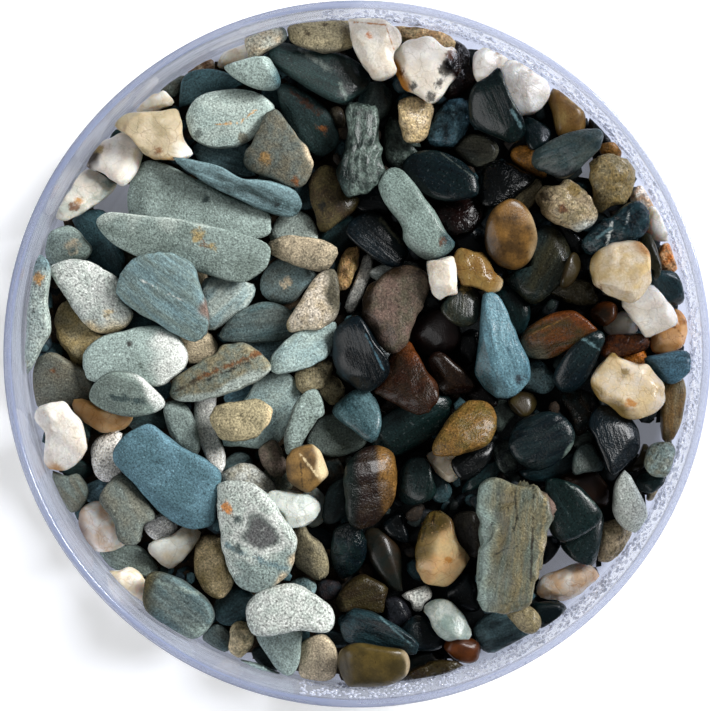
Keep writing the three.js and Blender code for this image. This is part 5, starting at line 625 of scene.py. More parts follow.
green_grey_hollow greywacke sage moss 3.4 2.5 spot,-10.4,-37.3,0.4,umber -133,-370 20,10 37,0 2,-20 -2,-23
  -11,-17 -15,4 -13,18
dark_crinkled_wall crinkled umber olive 3 2.6 49,-431 13,11 34,17 30,1 11,-7 -20,-15 -25,-9 -26,-4
grey_hole_wedge greywacke lead petrol 3 2.5 281,-135 8,14 15,3 11,-17 5,-15 -23,-4 -16,-2
speckled_grey_round granite sage khaki 3.8 2.3 376,-128 10,11 22,0 9,-15 -3,-18 -15,-8 -14,1 -11,12
arc_lit_pebble slate jet jet 3 2.3 123,-140 23,16 19,7 12,6 -1,-16 -8,-18 -14,-14 -18,-4
brown_grey_slab sandstone beige taupe 3.2 2.5 -115,131 5,15 23,7 34,-4 26,-12 -1,-14 -12,-13 -21,-1
teal_pebble_centre slate petrol steel 3.4 2.3 -32,-78 11,17 20,12 20,-4 10,-20 1,-24 -11,-18 -25,16
dark_sliver_right slate bottle olive 2.6 2.4 367,145 10,12 6,-7 8,-23 3,-18 -9,-13 -7,23
teal_ochre_spot slate charcoal olive 3.2 2.3 spot,14,8.3,0.8,gold 110,59 11,17 10,15 15,1 9,-12 4,-18
  -4,-18 -15,-8 -17,7
grey_white_flake quartz sage mist 3.2 2.8 87,-334 11,10 19,0 15,-10 12,-16 4,-18 -18,-4 -16,-1 -14,15
  -5,12
white_quartz_block quartz milk ivory 3.8 3 345,67 18,12 17,10 18,-14 11,-16 5,-18 -12,-7 -15,-7 -13,-5
  -10,14 -10,16
tan_chip_wall sandstone sand khaki 3 2.5 194,-334 17,8 20,-8 7,-16 -10,-14 -17,6 -13,13
olive_crescent jasper umber olive 2.8 2.3 263,87 5,22 8,20 9,0 5,-13 -5,-16 -12,-13
grey_brown_under greywacke lead taupe 3.4 2.4 -334,-192 10,22 16,11 21,-16 23,-36 -14,-12 -6,-23 -23,5
  -8,26
"""


def stone_rows(table):
    """The rows of a table of stones: name, kind, tones, marks, and the lists of numbers."""
    for row in table.replace("\n ", " ").strip().splitlines():
        name, kind, first, second, *words = row.split()
        marks, numbers = [], []
        for word in words:
            values = word.split(",")
            if values[0].isalpha():
                marks.append((values[0], *(float(v) for v in values[1:-1]), values[-1]))
            else:
                numbers.append([float(v) for v in values])
        yield name, kind, (first, second), marks, numbers


def linear(code):
    """A tone's six hexadecimal digits as linear red, green and blue."""
    shown = np.array([int(code[i:i + 2], 16) / 255 for i in (0, 2, 4)])
    return np.where(shown <= 0.04045, shown / 12.92, ((shown + 0.055) / 1.055) ** 2.4)


def colour_property(name, code, description):
    """A colour that a user can change, with a tone's linear values as its default."""
    return bpy.props.FloatVectorProperty(
        name=name, description=description, subtype="COLOR", size=3, min=0, max=1,
        default=tuple(float(v) for v in linear(code)),
    )


def share_property(name, description, default, largest=1):
    """A share that a user can change, from 0 to the largest."""
    return bpy.props.FloatProperty(
        name=name, description=description, default=default, min=0, max=largest, subtype="FACTOR")


def length_property(name, description, default, least, largest):
    """A length in metres that a user can change."""
    return bpy.props.FloatProperty(
        name=name, description=description, default=default, min=least, max=largest,
        subtype="DISTANCE", unit="LENGTH")


def power_property(name, description, default):
    """A light's power in watts that a user can change."""
    return bpy.props.FloatProperty(
        name=name, description=description, default=default, min=0, max=500,
        subtype="POWER", unit="POWER")


class ToneSettings(bpy.types.PropertyGroup):
    """The tones that the stones share."""


for tone_name, tone_code in TONES.items():
    ToneSettings.__annotations__[tone_name] = colour_property(
        tone_name.replace("_", " ").capitalize(), tone_code, "Tone used by several stones")


class DishSettings(bpy.types.PropertyGroup):
    """The dish and the water left on its wall."""

    tint: colour_property("Tint", "f0f2f8", "Colour that light takes on at each face it passes")
    bloom: colour_property("Bloom", "b6bccd", "Colour of the light that the plastic scatters")
    rim: colour_property("Rim", "7a84a2", "Colour of the light that the rim scatters")
    haze: share_property(
        "Haze", "Share of light that the wall scatters instead of passing it on", 0.20)
    clear: share_property("Floor haze", "Share of light that the dish's floor scatters", 0.03)
    lines: share_property("Lines", "How much milkier the fine lines around the wall are", 0.25)
    ripple: length_property(
        "Ripple", "Height of the wavy water film on the wall", 0.02 * MM, 0, MM)
    rings: length_property(
        "Rings", "Height of the fine lines around the wall", 0.02 * MM, 0, MM)
    beads: bpy.props.IntProperty(
        name="Beads", description="Water beads on the inside of the wall",
        default=2600, min=0, max=4000)
    bead_radius: length_property(
        "Bead radius", "Radius of the largest beads", 0.34 * MM, 0.1 * MM, 2 * MM)


class StoneSettings(bpy.types.PropertyGroup):
    """How the stones' surfaces are worked."""

    relief: share_property("Relief", "Height of lumps, pits and ribs against the usual", 1, 2)
    bump: share_property("Grain height", "Height of the fine grain against the usual", 1, 3)


class StageSettings(bpy.types.PropertyGroup):
    """Floor, light and camera."""

    floor: colour_property("Floor", "fcfcfc", "Colour of the floor")
    key_power: power_property(
        "Key light", "Power of the soft light from the upper right", 29.5)
    key_size: length_property(
        "Key size", "Side of the square light from the upper right", 0.55, 0.01, 2)
    fill_power: power_property(
        "Fill light", "Power of the weaker light from the lower left", 8.5)
    fill_size: length_property(
        "Fill size", "Side of the square light from the lower left", 0.9, 0.01, 2)
    sky: bpy.props.FloatProperty(
        name="Sky", description="Strength of the even light all round",
        default=0.14, min=0, max=5)
    camera_height: length_property(
        "Camera height", "Height of the camera over the floor", 0.355, 0.1, 2)
    view_width: length_property(
        "View width", "Width of the picture at the height of the rim", 0.09061, 0.02, 1)


def settings():
    """The four groups of settings of the scene."""
    return bpy.context.scene.gravel


class GravelSettings(bpy.types.PropertyGroup):
    """Everything that a user can change."""

    tones: bpy.props.PointerProperty(type=ToneSettings)
    dish: bpy.props.PointerProperty(type=DishSettings)
    stones: bpy.props.PointerProperty(type=StoneSettings)
    stage: bpy.props.PointerProperty(type=StageSettings)


def tone(name):
    """A tone's linear colour as the settings have it now."""
    return np.array(getattr(settings().tones, name))


def even_turns(count):
    """Angles spread evenly over a full turn."""
    return 2 * math.pi * np.arange(count) / count


def latitudes(rings):
    """Latitudes of the rings of a closed grid, spread evenly between its poles."""
    return math.pi * (np.arange(1, rings + 1) / (rings + 1) - 0.5)


def smooth(values, low, high):
    """0 below low, 1 above high, and a smooth step between."""
    share = np.clip((values - low) / (high - low), 0, 1)
    return share * share * (3 - 2 * share)


def waves(points, rng, length, count=WAVE_COUNT):
    """Smooth noise about as large as 1: sine waves of about one length in random directions,
    added up and divided by the root of their number."""
    headings = rng.normal(size=(count, 3))
    headings /= np.linalg.norm(headings, axis=1)[:, None]
    lengths = length * rng.uniform(*WAVE_LENGTHS, count)
    starts = rng.uniform(0, 2 * math.pi, count)
    turns = points @ (headings * (2 * math.pi / lengths)[:, None]).T + starts
    return np.sin(turns).sum(1) / math.sqrt(count)


# Outlines and footprints

def inside_dish(points):
    """Points held inside the dish's wall: drawn in towards the middle where they pass it."""
    return points * np.minimum(1, FILL_RADIUS / np.hypot(*points.T))[:, None]


def closed_curve(points, steps):
    """Points on the closed uniform Catmull-Rom spline through the points, steps to a stretch."""
    a, b, c, d = (np.roll(points, shift, 0)[:, None] for shift in (1, 0, -1, -2))
    t = (np.arange(steps) / steps)[None, :, None]
    curve = 0.5 * (2 * b + (c - a) * t + (2 * a - 5 * b + 4 * c - d) * t ** 2
                   + (3 * b - a - 3 * c + d) * t ** 3)
    return curve.reshape(-1, 2)


def polar(offsets):
    """Angles and distances of offsets from a middle, in order of angle."""
    angles = np.arctan2(offsets[:, 1], offsets[:, 0])
    order = np.argsort(angles)
    return angles[order], np.hypot(*offsets.T)[order]


def around(table, angles):
    """Distance from the middle to the outline at some angles, from a table of angle and distance."""
    return np.interp(angles, *table, period=2 * math.pi)


class Stone:
    """One stone: the middle of its outline, the outline's distance at every angle, its thickness,
    how square its edge is, the height of its middle and its lean."""

    def __init__(self, name, kind, tones, marks, outline, thick, edge, steps=CURVE_STEPS):
        self.name, self.kind, self.tones, self.marks = name, kind, tones, marks
        self.thick, self.edge = thick, edge
        curve = inside_dish(closed_curve(inside_dish(np.array(outline, float)), steps))
        self.middle = (curve.min(0) + curve.max(0)) / 2
        self.table = polar(curve - self.middle)
        self.curve = curve - self.middle
        self.height, self.lean = 0.0, np.zeros(2)

    def half_thickness(self, share):
        """Half the thickness at a share of the way from the middle to the outline."""
        return self.thick / 2 * (1 - share ** self.edge) ** (1 / self.edge)


def packed_stone(name, kind, tones, marks):
    """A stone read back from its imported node. Two poles stand over each other furthest apart, the
    shoulder rings lie over each other, and the points that stand alone are the outline."""
    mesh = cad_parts[name].data
    corners = np.zeros(len(mesh.vertices) * 3)
    mesh.vertices.foreach_get("co", corners)
    points = np.unique((corners.reshape(-1, 3) / MM).round(3), axis=0)
    keys, which, counts = np.unique(
        points[:, :2].round(2), axis=0, return_inverse=True, return_counts=True)
    which = which.ravel()
    low, high = (np.full(len(keys), sign * np.inf) for sign in (1, -1))
    np.minimum.at(low, which, points[:, 2])
    np.maximum.at(high, which, points[:, 2])
    depth = high - low
    pole = depth.argmax()
    ring = points[counts[which] == 1]
    middle = keys[pole]
    table = polar(ring[:, :2] - middle)
    outline = middle + np.stack([table[1] * np.cos(table[0]), table[1] * np.sin(table[0])], 1)
    stone = Stone(name, kind, tones, marks, outline, depth[pole], 2.0, OUTLINE_STEPS)
    stone.middle = middle
    stone.curve = inside_dish(closed_curve(outline, OUTLINE_STEPS)) - middle
    stone.table = polar(stone.curve)
    stone.height = (low[pole] + high[pole]) / 2
    stone.lean = np.linalg.lstsq(ring[:, :2] - middle, ring[:, 2] - stone.height, rcond=None)[0]
    shoulder = np.median(depth[(depth > 0) & (np.arange(len(keys)) != pole)]) / depth[pole]
    shoulders = (1 - SHOULDER ** PACKED_EDGES) ** (1 / PACKED_EDGES)
    stone.edge = float(np.interp(shoulder, shoulders, PACKED_EDGES))
    return stone


# Settling the small stones

def cells_under(stone):
    """The cells of the height map under a stone: their place, offset and half thickness."""
    angles = -math.pi + even_turns(DIRECTIONS)
    table = (angles, around(stone.table, angles))
    largest = table[1].max() + SIDE_CLEARANCE
    low = np.ceil((stone.middle - largest) / CELL).astype(int)
    high = np.floor((stone.middle + largest) / CELL).astype(int)
    columns, rows = np.mgrid[low[0]:high[0] + 1, low[1]:high[1] + 1]
    offsets = np.stack([columns * CELL, rows * CELL], -1) - stone.middle
    reach = around(table, np.arctan2(offsets[..., 1], offsets[..., 0])) + SIDE_CLEARANCE
    share = np.hypot(offsets[..., 0], offsets[..., 1]) / reach
    under = share < 1
    place = (columns[under] + MAP_HALF, rows[under] + MAP_HALF)
    return place, offsets[under], stone.half_thickness(share[under])


def settle(stone, heights, cells):
    """Lowers a stone, level or leaning a little, until it rests a gap above what lies under it,
    with the lean that lets it sink the furthest, and raises the height map to its top."""
    place, offsets, half = cells
    turns = even_turns(LEAN_DIRECTIONS)
    headings = np.stack([np.cos(turns), np.sin(turns)], 1)
    leans = np.concatenate([np.zeros((1, 2))] + [slope * headings for slope in LEAN_SLOPES])
    rests = (heights[place] + GAP + half - leans @ offsets.T).max(1)
    best = rests.argmin()
    stone.height, stone.lean = rests[best], leans[best]
    top = stone.height + half + offsets @ stone.lean
    np.maximum.at(heights, place, top)


def small_stones():
    """The small stones, lowest first, settled one on another, and then the fillers."""
    heights = np.full((MAP_SIDE, MAP_SIDE), FLOOR)
    stones = []
    for name, kind, tones, marks, numbers in stone_rows(SMALL_STONES):
        (thick,), (edge,), *steps = numbers
        stone = Stone(name, kind, tones, marks, np.cumsum(steps, 0) / 10, thick, edge)
        settle(stone, heights, cells_under(stone))
        stones.append(stone)
    for k in range(FILLER_COUNT):
        stone = filler(k)
        if stone is None:
            continue
        cells = cells_under(stone)
        if (heights[cells[0]] == FLOOR).all():
            settle(stone, heights, cells)
            stones.append(stone)
    return stones + add_grit(stones)


def add_grit(stones):
    """Small worn stones on the floor in the gaps, in sizes from large to small and in layers. Each
    rests on the floor or on grit, and stays only where it is clear of the undersides of the larger
    stones and lies well below their tops."""
    named = [packed_stone(name, kind, tones, ())
             for name, kind, tones, _, _ in stone_rows(NAMED_STONES)]
    heights = np.full((MAP_SIDE, MAP_SIDE), FLOOR)
    ceiling = np.full((MAP_SIDE, MAP_SIDE), np.inf)
    summit = np.full((MAP_SIDE, MAP_SIDE), FLOOR)
    for stone in stones + named:
        place, offsets, half = cells_under(stone)
        middle = stone.height + offsets @ stone.lean
        np.minimum.at(ceiling, place, middle - half)
        np.maximum.at(summit, place, middle + half)
    kept = []
    for size, count in GRIT_SIZES:
        radii = GRIT_RADIUS * np.sqrt((np.arange(count) + 0.5) / count)
        turns = np.arange(count) * GOLDEN_ANGLE
        for k, (x, y) in enumerate(zip(radii * np.cos(turns), radii * np.sin(turns))):
            if open_floor(x, y):
                continue
            number = len(kept)
            # grit in near-black tones: partly its own colour, partly painted shade of the gaps
            stone = oval_stone(
                f"grit_{number}", GRIT_KINDS[k % len(GRIT_KINDS)], GRIT_TONES_AND_SHADE[k % len(GRIT_TONES_AND_SHADE)],
                (x, y), (size, GRIT_WIDTH * size), k * FILLER_TURN, GRIT_THICK * size,
                GRIT_UNEVEN)
            column, row = (int(round(v / CELL)) + MAP_HALF for v in (x, y))
            beside = summit[max(column - GRIT_LOOK, 0):column + GRIT_LOOK + 1,
                            max(row - GRIT_LOOK, 0):row + GRIT_LOOK + 1].max()
            place, offsets, half = cells_under(stone)
            stone.height = (heights[place] + GRIT_GAP + half).max()
            top = stone.height + half
            if top.max() > beside - GRIT_SUNK or (top + GRIT_GAP > ceiling[place]).any():
                continue
            np.maximum.at(heights, place, top)
            kept.append(stone)
    return kept


def open_floor(x, y):
    """Whether a place is one where the pale floor shows."""
    return any(math.hypot(x - open_x, y - open_y) < reach for open_x, open_y, reach in OPEN_FLOOR)


def oval_stone(name, kind, tones, middle, size, turn, thick, uneven=0):
    """A stone whose outline is an ellipse of some length and width, turned, each of its corners
    drawn in by up to an uneven share."""
    angles = even_turns(OVAL_CORNERS)
    rng = np.random.default_rng(zlib.crc32(name.encode()))
    drawn = 1 - uneven * rng.uniform(0, 1, OVAL_CORNERS)
    along, across = size[0] / 2 * np.cos(angles) * drawn, size[1] / 2 * np.sin(angles) * drawn
    outline = np.array(middle) + np.stack([
        along * math.cos(turn) - across * math.sin(turn),
        along * math.sin(turn) + across * math.cos(turn),
    ], 1)
    return Stone(name, kind, tones, (), outline, thick, FILLER_EDGE)


def filler(k):
    """One plain oval stone on the sunflower spiral, or nothing where the floor is left open."""
    radius = FILLER_RADIUS * math.sqrt((k + 0.5) / FILLER_COUNT)
    x, y = radius * math.cos(k * GOLDEN_ANGLE), radius * math.sin(k * GOLDEN_ANGLE)
    if open_floor(x, y):
        return None
    kind, *tones = FILLER_LOOKS[k % len(FILLER_LOOKS)]
    return oval_stone(f"filler_{k}", kind, tones, (x, y), (FILLER_LENGTH, FILLER_WIDTH),
                      k * FILLER_TURN, FILLER_THICK)


# The surface of one stone

def skin_grid(count, rings):
    """Corners of the triangles of a closed grid: pole, rings of count points, pole."""
    ring, step = np.meshgrid(np.arange(rings - 1), np.arange(count), indexing="ij")
    low = 1 + ring * count + step
    low_next = 1 + ring * count + (step + 1) % count
    sides = np.concatenate([
        np.stack([low, low_next, low_next + count], -1).reshape(-1, 3),
        np.stack([low, low_next + count, low + count], -1).reshape(-1, 3),
    ])
    k = np.arange(count)
    after = (k + 1) % count
    top = 1 + rings * count
    last = 1 + (rings - 1) * count
    foot = np.stack([np.zeros_like(k), 1 + after, 1 + k], 1)
    crown = np.stack([last + k, last + after, np.full_like(k, top)], 1)
    return np.concatenate([foot, sides, crown])


def long_axis(stone):
    """The angle of the line along which the outline is longest."""
    values, vectors = np.linalg.eigh(np.cov(stone.curve.T))
    return math.atan2(vectors[1, 1], vectors[0, 1])


def facet_share(offset, stone, rng, form):
    """How far the points are drawn in by worn flats: a crown above, one below and the rest around.
    Each flat is a plane at a share of the stone's reach along its normal, and not much inside the
    outline. The least of the planes' shares is taken softly: the sum of the shares to a high
    negative power, brought back by the root."""
    facets = form["facets"]
    turn = rng.uniform(0, 2 * math.pi) + 2 * math.pi * np.arange(facets + 2) / facets
    turn += rng.uniform(-FLAT_STRAY, FLAT_STRAY, facets + 2)
    falls = np.arange(facets) % FLATS_TO_ONE_BELOW == FLATS_TO_ONE_BELOW - 1
    rise = rng.uniform(*FLAT_RISE, facets) * np.where(falls, -1, 1)
    rise = np.concatenate([rise, rng.uniform(*CROWN_RISE, 2) * (1, -1)])
    level = np.sqrt(1 - rise ** 2)
    radius = stone.table[1].mean()
    normals = np.stack([level * np.cos(turn) / radius, level * np.sin(turn) / radius,
                        2 * rise / stone.thick], 1)
    share = rng.uniform(form.get("deepest", FLAT_DEEPEST), FLAT_SHALLOWEST, facets)
    share = np.concatenate([share, rng.uniform(*form["crown"], 2)])
    ahead = offset @ normals.T
    outline = (stone.curve @ normals[:, :2].T).max(0)
    distance = np.maximum(share * ahead.max(0), outline * form.get("trim", FLAT_TRIM))
    toward = np.maximum(ahead, 1e-3) / distance
    return (1 + (toward ** form["crisp"]).sum(1)) ** (-1 / form["crisp"])


def relief(place, rng, form, size):
    """Height in millimetres of lumps, ribs, wrinkles and pits at places in the stone's own frame.
    Lumps are noise. Ribs are folded sine waves of one direction, bent by noise. A crust is the
    fold of noise about its zero. A pit is a bell curve of the distance from its middle."""
    height = np.zeros(len(place))
    for length, swell in form["lumps"]:
        height += swell * waves(place, rng, length)
    if "ribs" in form:
        spacing, rise = form["ribs"]
        bent = place[:, 1] + RIB_BEND * spacing * waves(place, rng, RIB_BEND_LENGTH)
        fold = np.abs(np.sin(math.pi * bent / spacing))
        height += rise * (0.5 - fold) * (1 + RIB_FADE * waves(place, rng, RIB_FADE_LENGTH))
    if "crust" in form:
        spacing, rise = form["crust"]
        height += rise * (0.5 - np.abs(waves(place, rng, spacing)))
    if "pits" in form:
        count, width, depth = form["pits"]
        for _ in range(count):
            heading = rng.normal(size=3)
            heading[2] = abs(heading[2]) + PIT_LIFT
            middle = place[(place @ heading).argmax()]
            near = np.linalg.norm(place - middle, axis=1)
            height -= depth * np.exp(-(near / (width * rng.uniform(*PIT_WIDTHS))) ** 2)
    return height * min(1, size / FULL_RELIEF_SIZE)


def surface(stone, count, rings, rng):
    """The stone's points, its triangles and each point's place in the stone's own frame. Seen from
    above, a point lies at the cosine of its latitude on the way to the outline, and its height is
    the sine of it, both to the power that the edge's squareness asks for. Worn flats and relief
    then draw it in or push it out along the line from the middle."""
    form = FORMS[stone.kind]
    angle, latitude = even_turns(count), latitudes(rings)
    power = 2 / (stone.edge * form.get("squarer", SQUARER))
    share = np.cos(latitude)[:, None] ** power * np.ones(count)
    level = (np.sign(latitude) * np.abs(np.sin(latitude)) ** power)[:, None] * np.ones(count)
    unit = np.stack([share * np.cos(angle), share * np.sin(angle), level], -1).reshape(-1, 3)
    unit = np.concatenate([[[0, 0, -1]], unit, [[0, 0, 1]]])
    reach = OUTLINE_GAIN * np.concatenate(
        [[0], np.tile(around(stone.table, angle), rings), [0]])
    offset = unit * np.stack([reach, reach, np.full(len(reach), stone.thick / 2)], 1)
    offset *= facet_share(offset, stone, rng, form)[:, None]
    turn = long_axis(stone)
    along = offset[:, 0] * math.cos(turn) + offset[:, 1] * math.sin(turn)
    across = offset[:, 1] * math.cos(turn) - offset[:, 0] * math.sin(turn)
    place = np.stack([along, across, offset[:, 2]], 1)
    distance = np.linalg.norm(offset, axis=1)
    worked = relief(place, rng, form, distance.max()) * settings().stones.relief
    offset *= (1 + worked / np.maximum(distance, 1))[:, None]
    points = np.empty_like(offset)
    points[:, :2] = inside_dish(stone.middle + offset[:, :2])
    points[:, 2] = stone.height + offset[:, 2] + offset[:, :2] @ stone.lean
    return points, skin_grid(count, rings), place


# Colours painted on the surface

def worn_and_lit_edge(points, count, rings):
    """How far each point lies on the worn border between top and side, which is painted paler, partly
    for wear and partly as a painted highlight where the rims catch the light: a bell curve of the
    upward part of the normal, which is the cross product of the steps around and up the grid."""
    grid = points[1:-1].reshape(rings, count, 3)
    normal = np.cross(np.roll(grid, -1, 1) - np.roll(grid, 1, 1), np.gradient(grid, axis=0))
    rise = normal[..., 2] / np.maximum(np.linalg.norm(normal, axis=-1), 1e-9)
    border = np.exp(-((rise - WORN_AND_LIT_RISE) / WORN_AND_LIT_SPREAD) ** 2)
    return np.concatenate([[0], border.ravel(), [0]])


def mark_field(mark, points, waver):
    """How far inside a mark each point is: a half at its border, more inside, less outside. The
    distance is from a middle, or from the nearest point of a line."""
    shape, *numbers = mark[:-1]
    ends = np.array(numbers[:-1]).reshape(-1, 2)
    span = ends[-1] - ends[0]
    along = np.zeros(len(points))
    if shape == "vein":
        along = np.clip((points[:, :2] - ends[0]) @ span / (span @ span), 0, 1)
    away = np.linalg.norm(points[:, :2] - ends[0] - along[:, None] * span, axis=1)
    border = numbers[-1] * (1 + MARK_WAVER * waver)
    softness = min(MARK_SOFTNESS, numbers[-1])
    return np.clip(0.5 + (border - away) / (2 * softness), 0, 1)


def paint(stone, points, place, border, rng):
    """The colours of a stone's points: two tones that its mottle mixes, a stain, and how far inside
    a stain and how wet each point is. Sides tint the tones, on a few stones as painted light and
    shade. Worn borders are painted paler where dry, partly for wear and partly as a painted
    highlight on the rims, and water deepens every tone: it is raised to a power above one."""
    first, second = (np.tile(tone(name), (len(points), 1)) for name in stone.tones)
    stain = second.copy()
    field = np.zeros(len(points))
    waver = waves(place, rng, WAVER_LENGTH)
    for mark in stone.marks:
        # a side tints one side of the stone toward a tone; on a few stones of the top layer this is
        # painted light and shade, lighter where the light falls and darker away from it
        if mark[0] == "side":
            _, heading, start, end, name = mark
            turn = math.radians(heading)
            direction = np.array([math.cos(turn), math.sin(turn)])
            share = (points[:, :2] - stone.middle) @ direction / (stone.curve @ direction).max()
            cover = smooth(share + SIDE_WAVER * waver, start, end)[:, None]
            first = first + (tone(name) - first) * cover
            second = second + (tone(name) * SIDE_SECOND - second) * cover
            continue
        inside = mark_field(mark, points, waver)
        over = smooth(inside / np.maximum(field, 0.02), 0, 1)[:, None]
        over = np.where(inside[:, None] > 0, over, 0)
        stain = stain + (tone(mark[-1]) - stain) * over
        field = np.maximum(field, inside)
    wet = smooth(points[:, 0] + WET_WAVER * waver, WET_EDGE - WET_WIDTH, WET_EDGE + WET_WIDTH)
    deep = (DRY_DEPTH + (WET_DEPTH - DRY_DEPTH) * wet)[:, None]
    # worn borders painted paler: partly wear, partly a painted highlight on the rims, less where wet
    strength = FINISHES[stone.kind].get("worn", USUAL_WORN_AND_LIT)
    worn = 1 + (strength * border * (1 - WORN_AND_LIT_LOST * wet))[:, None]
    first, second, stain = (np.clip(shade * worn, 0, 1) ** deep for shade in (first, second, stain))
    gloss = wet * (GRIT_GLOSS if stone.name.startswith("grit") else 1)
    return {"tone": first, "second": second, "stain": stain, "field": field, "wet": gloss}


# Meshes

def put_mesh(name, points, triangles, attributes, look):
    """A mesh object at the origin with the points, in millimetres, the triangles, one attribute for
    each array of values at the points, and smooth shading."""
    mesh = bpy.data.meshes.new(name)
    mesh.vertices.add(len(points))
    mesh.vertices.foreach_set("co", (points * MM).astype(np.float32).ravel())
    mesh.loops.add(3 * len(triangles))
    mesh.loops.foreach_set("vertex_index", triangles.astype(np.int32).ravel())
    mesh.polygons.add(len(triangles))
    mesh.polygons.foreach_set("loop_start", np.arange(0, 3 * len(triangles), 3, dtype=np.int32))
    mesh.polygons.foreach_set("use_smooth", np.ones(len(triangles), bool))
    mesh.update(calc_edges=True)
    for key, values in attributes.items():
        if values.ndim == 1:
            mesh.attributes.new(key, "FLOAT", "POINT").data.foreach_set(
                "value", values.astype(np.float32))
        elif key == "place":
            mesh.attributes.new(key, "FLOAT_VECTOR", "POINT").data.foreach_set(
                "vector", values.astype(np.float32).ravel())
        else:
            opaque = np.concatenate([values, np.ones((len(values), 1))], 1)
            mesh.attributes.new(key, "FLOAT_COLOR", "POINT").data.foreach_set(
                "color", opaque.astype(np.float32).ravel())
    mesh.materials.append(look)
    piece = bpy.data.objects.new(name, mesh)
    bpy.context.scene.collection.objects.link(piece)
    return piece


def worked_stone(stone, count, rings=None):
    """The finished surface of one stone with its colours, from a seed that its name gives."""
    rng = np.random.default_rng(zlib.crc32(stone.name.encode()) + OTHER_SEEDS.get(stone.name, 0))
    rings = rings or round(count * RINGS_PER_AROUND)
    points, triangles, place = surface(stone, count, rings, rng)
    colours = paint(stone, points, place, worn_and_lit_edge(points, count, rings), rng)
    colours["place"] = place + rng.uniform(-50, 50, 3)
    return points, triangles, colours


def points_around(stone, spacing, limits):
    """How many points go around a stone's outline for a spacing, within limits."""
    steps = np.diff(stone.curve, axis=0, append=stone.curve[:1])
    return int(np.clip(np.hypot(*steps.T).sum() / spacing, *limits))


# Materials

class Shader:
    """A material under construction: each method adds a node and gives its output."""

    def __init__(self, name):
        self.material = bpy.data.materials.new(name)
        self.material.use_nodes = True
        self.tree = self.material.node_tree
        self.tree.nodes.clear()

    def add(self, kind, inputs=(), **facts):
        """A node with its settings, its inputs joined to outputs or set to values."""
        node = self.tree.nodes.new(kind)
        for key, value in facts.items():
            setattr(node, key, value)
        for key, value in dict(inputs).items():
            if isinstance(value, bpy.types.NodeSocket):
                self.tree.links.new(value, node.inputs[key])
            else:
                node.inputs[key].default_value = value
        return node

    def attribute(self, name, output):
        """A value painted on the surface."""
        return self.add("ShaderNodeAttribute", attribute_name=name).outputs[output]

    def noise(self, place, size, detail=3, roughness=0.55):
        """Noise with features of about a size in millimetres."""
        return self.add("ShaderNodeTexNoise", {
            "Vector": place, "Scale": 1 / (NOISE_LENGTH * size), "Detail": detail,
            "Roughness": roughness,
        }).outputs["Fac"]

    def vector(self, operation, first, second):
        """A sum or product of two vectors."""
        return self.add("ShaderNodeVectorMath", {0: first, 1: second},
                        operation=operation).outputs[0]

    def stretch(self, place, factors):
        """The place with each of its axes multiplied."""
        return self.vector("MULTIPLY", place, factors)

    def math(self, operation, first, second=0.0):
        """One step of arithmetic."""
        return self.add("ShaderNodeMath", {0: first, 1: second}, operation=operation).outputs[0]

    def step(self, value, low, high, start=0.0, end=1.0):
        """A smooth step from start at low to end at high."""
        return self.add("ShaderNodeMapRange", {
            "Value": value, "From Min": low, "From Max": high, "To Min": start, "To Max": end,
        }, interpolation_type="SMOOTHSTEP").outputs[0]

    def line(self, value, start, end):
        """A straight way from start at 0 to end at 1."""
        return self.add("ShaderNodeMapRange", {
            "Value": value, "To Min": start, "To Max": end}).outputs[0]

    def mix(self, share, first, second, blend="MIX"):
        """Two colours mixed."""
        node = self.add("ShaderNodeMix", {0: share, 6: first, 7: second},
                        data_type="RGBA", blend_type=blend)
        return node.outputs[2]

    def shaded(self, colour, value):
        """A colour multiplied by a value."""
        grey = self.add("ShaderNodeCombineColor", {0: value, 1: value, 2: value}).outputs[0]
        return self.mix(1.0, colour, grey, "MULTIPLY")

    def blend(self, share, first, second):
        """Two surface shaders mixed."""
        return self.add("ShaderNodeMixShader", {0: share, 1: first, 2: second}).outputs[0]

    def principled(self, **inputs):
        """The usual surface shader with its inputs, an underscore for each space of their names."""
        return self.add("ShaderNodeBsdfPrincipled", {
            key.replace("_", " "): value for key, value in inputs.items()}).outputs[0]

    def finish(self, surface_shader):
        """The material with its output."""
        self.add("ShaderNodeOutputMaterial", {"Surface": surface_shader})
        return self.material


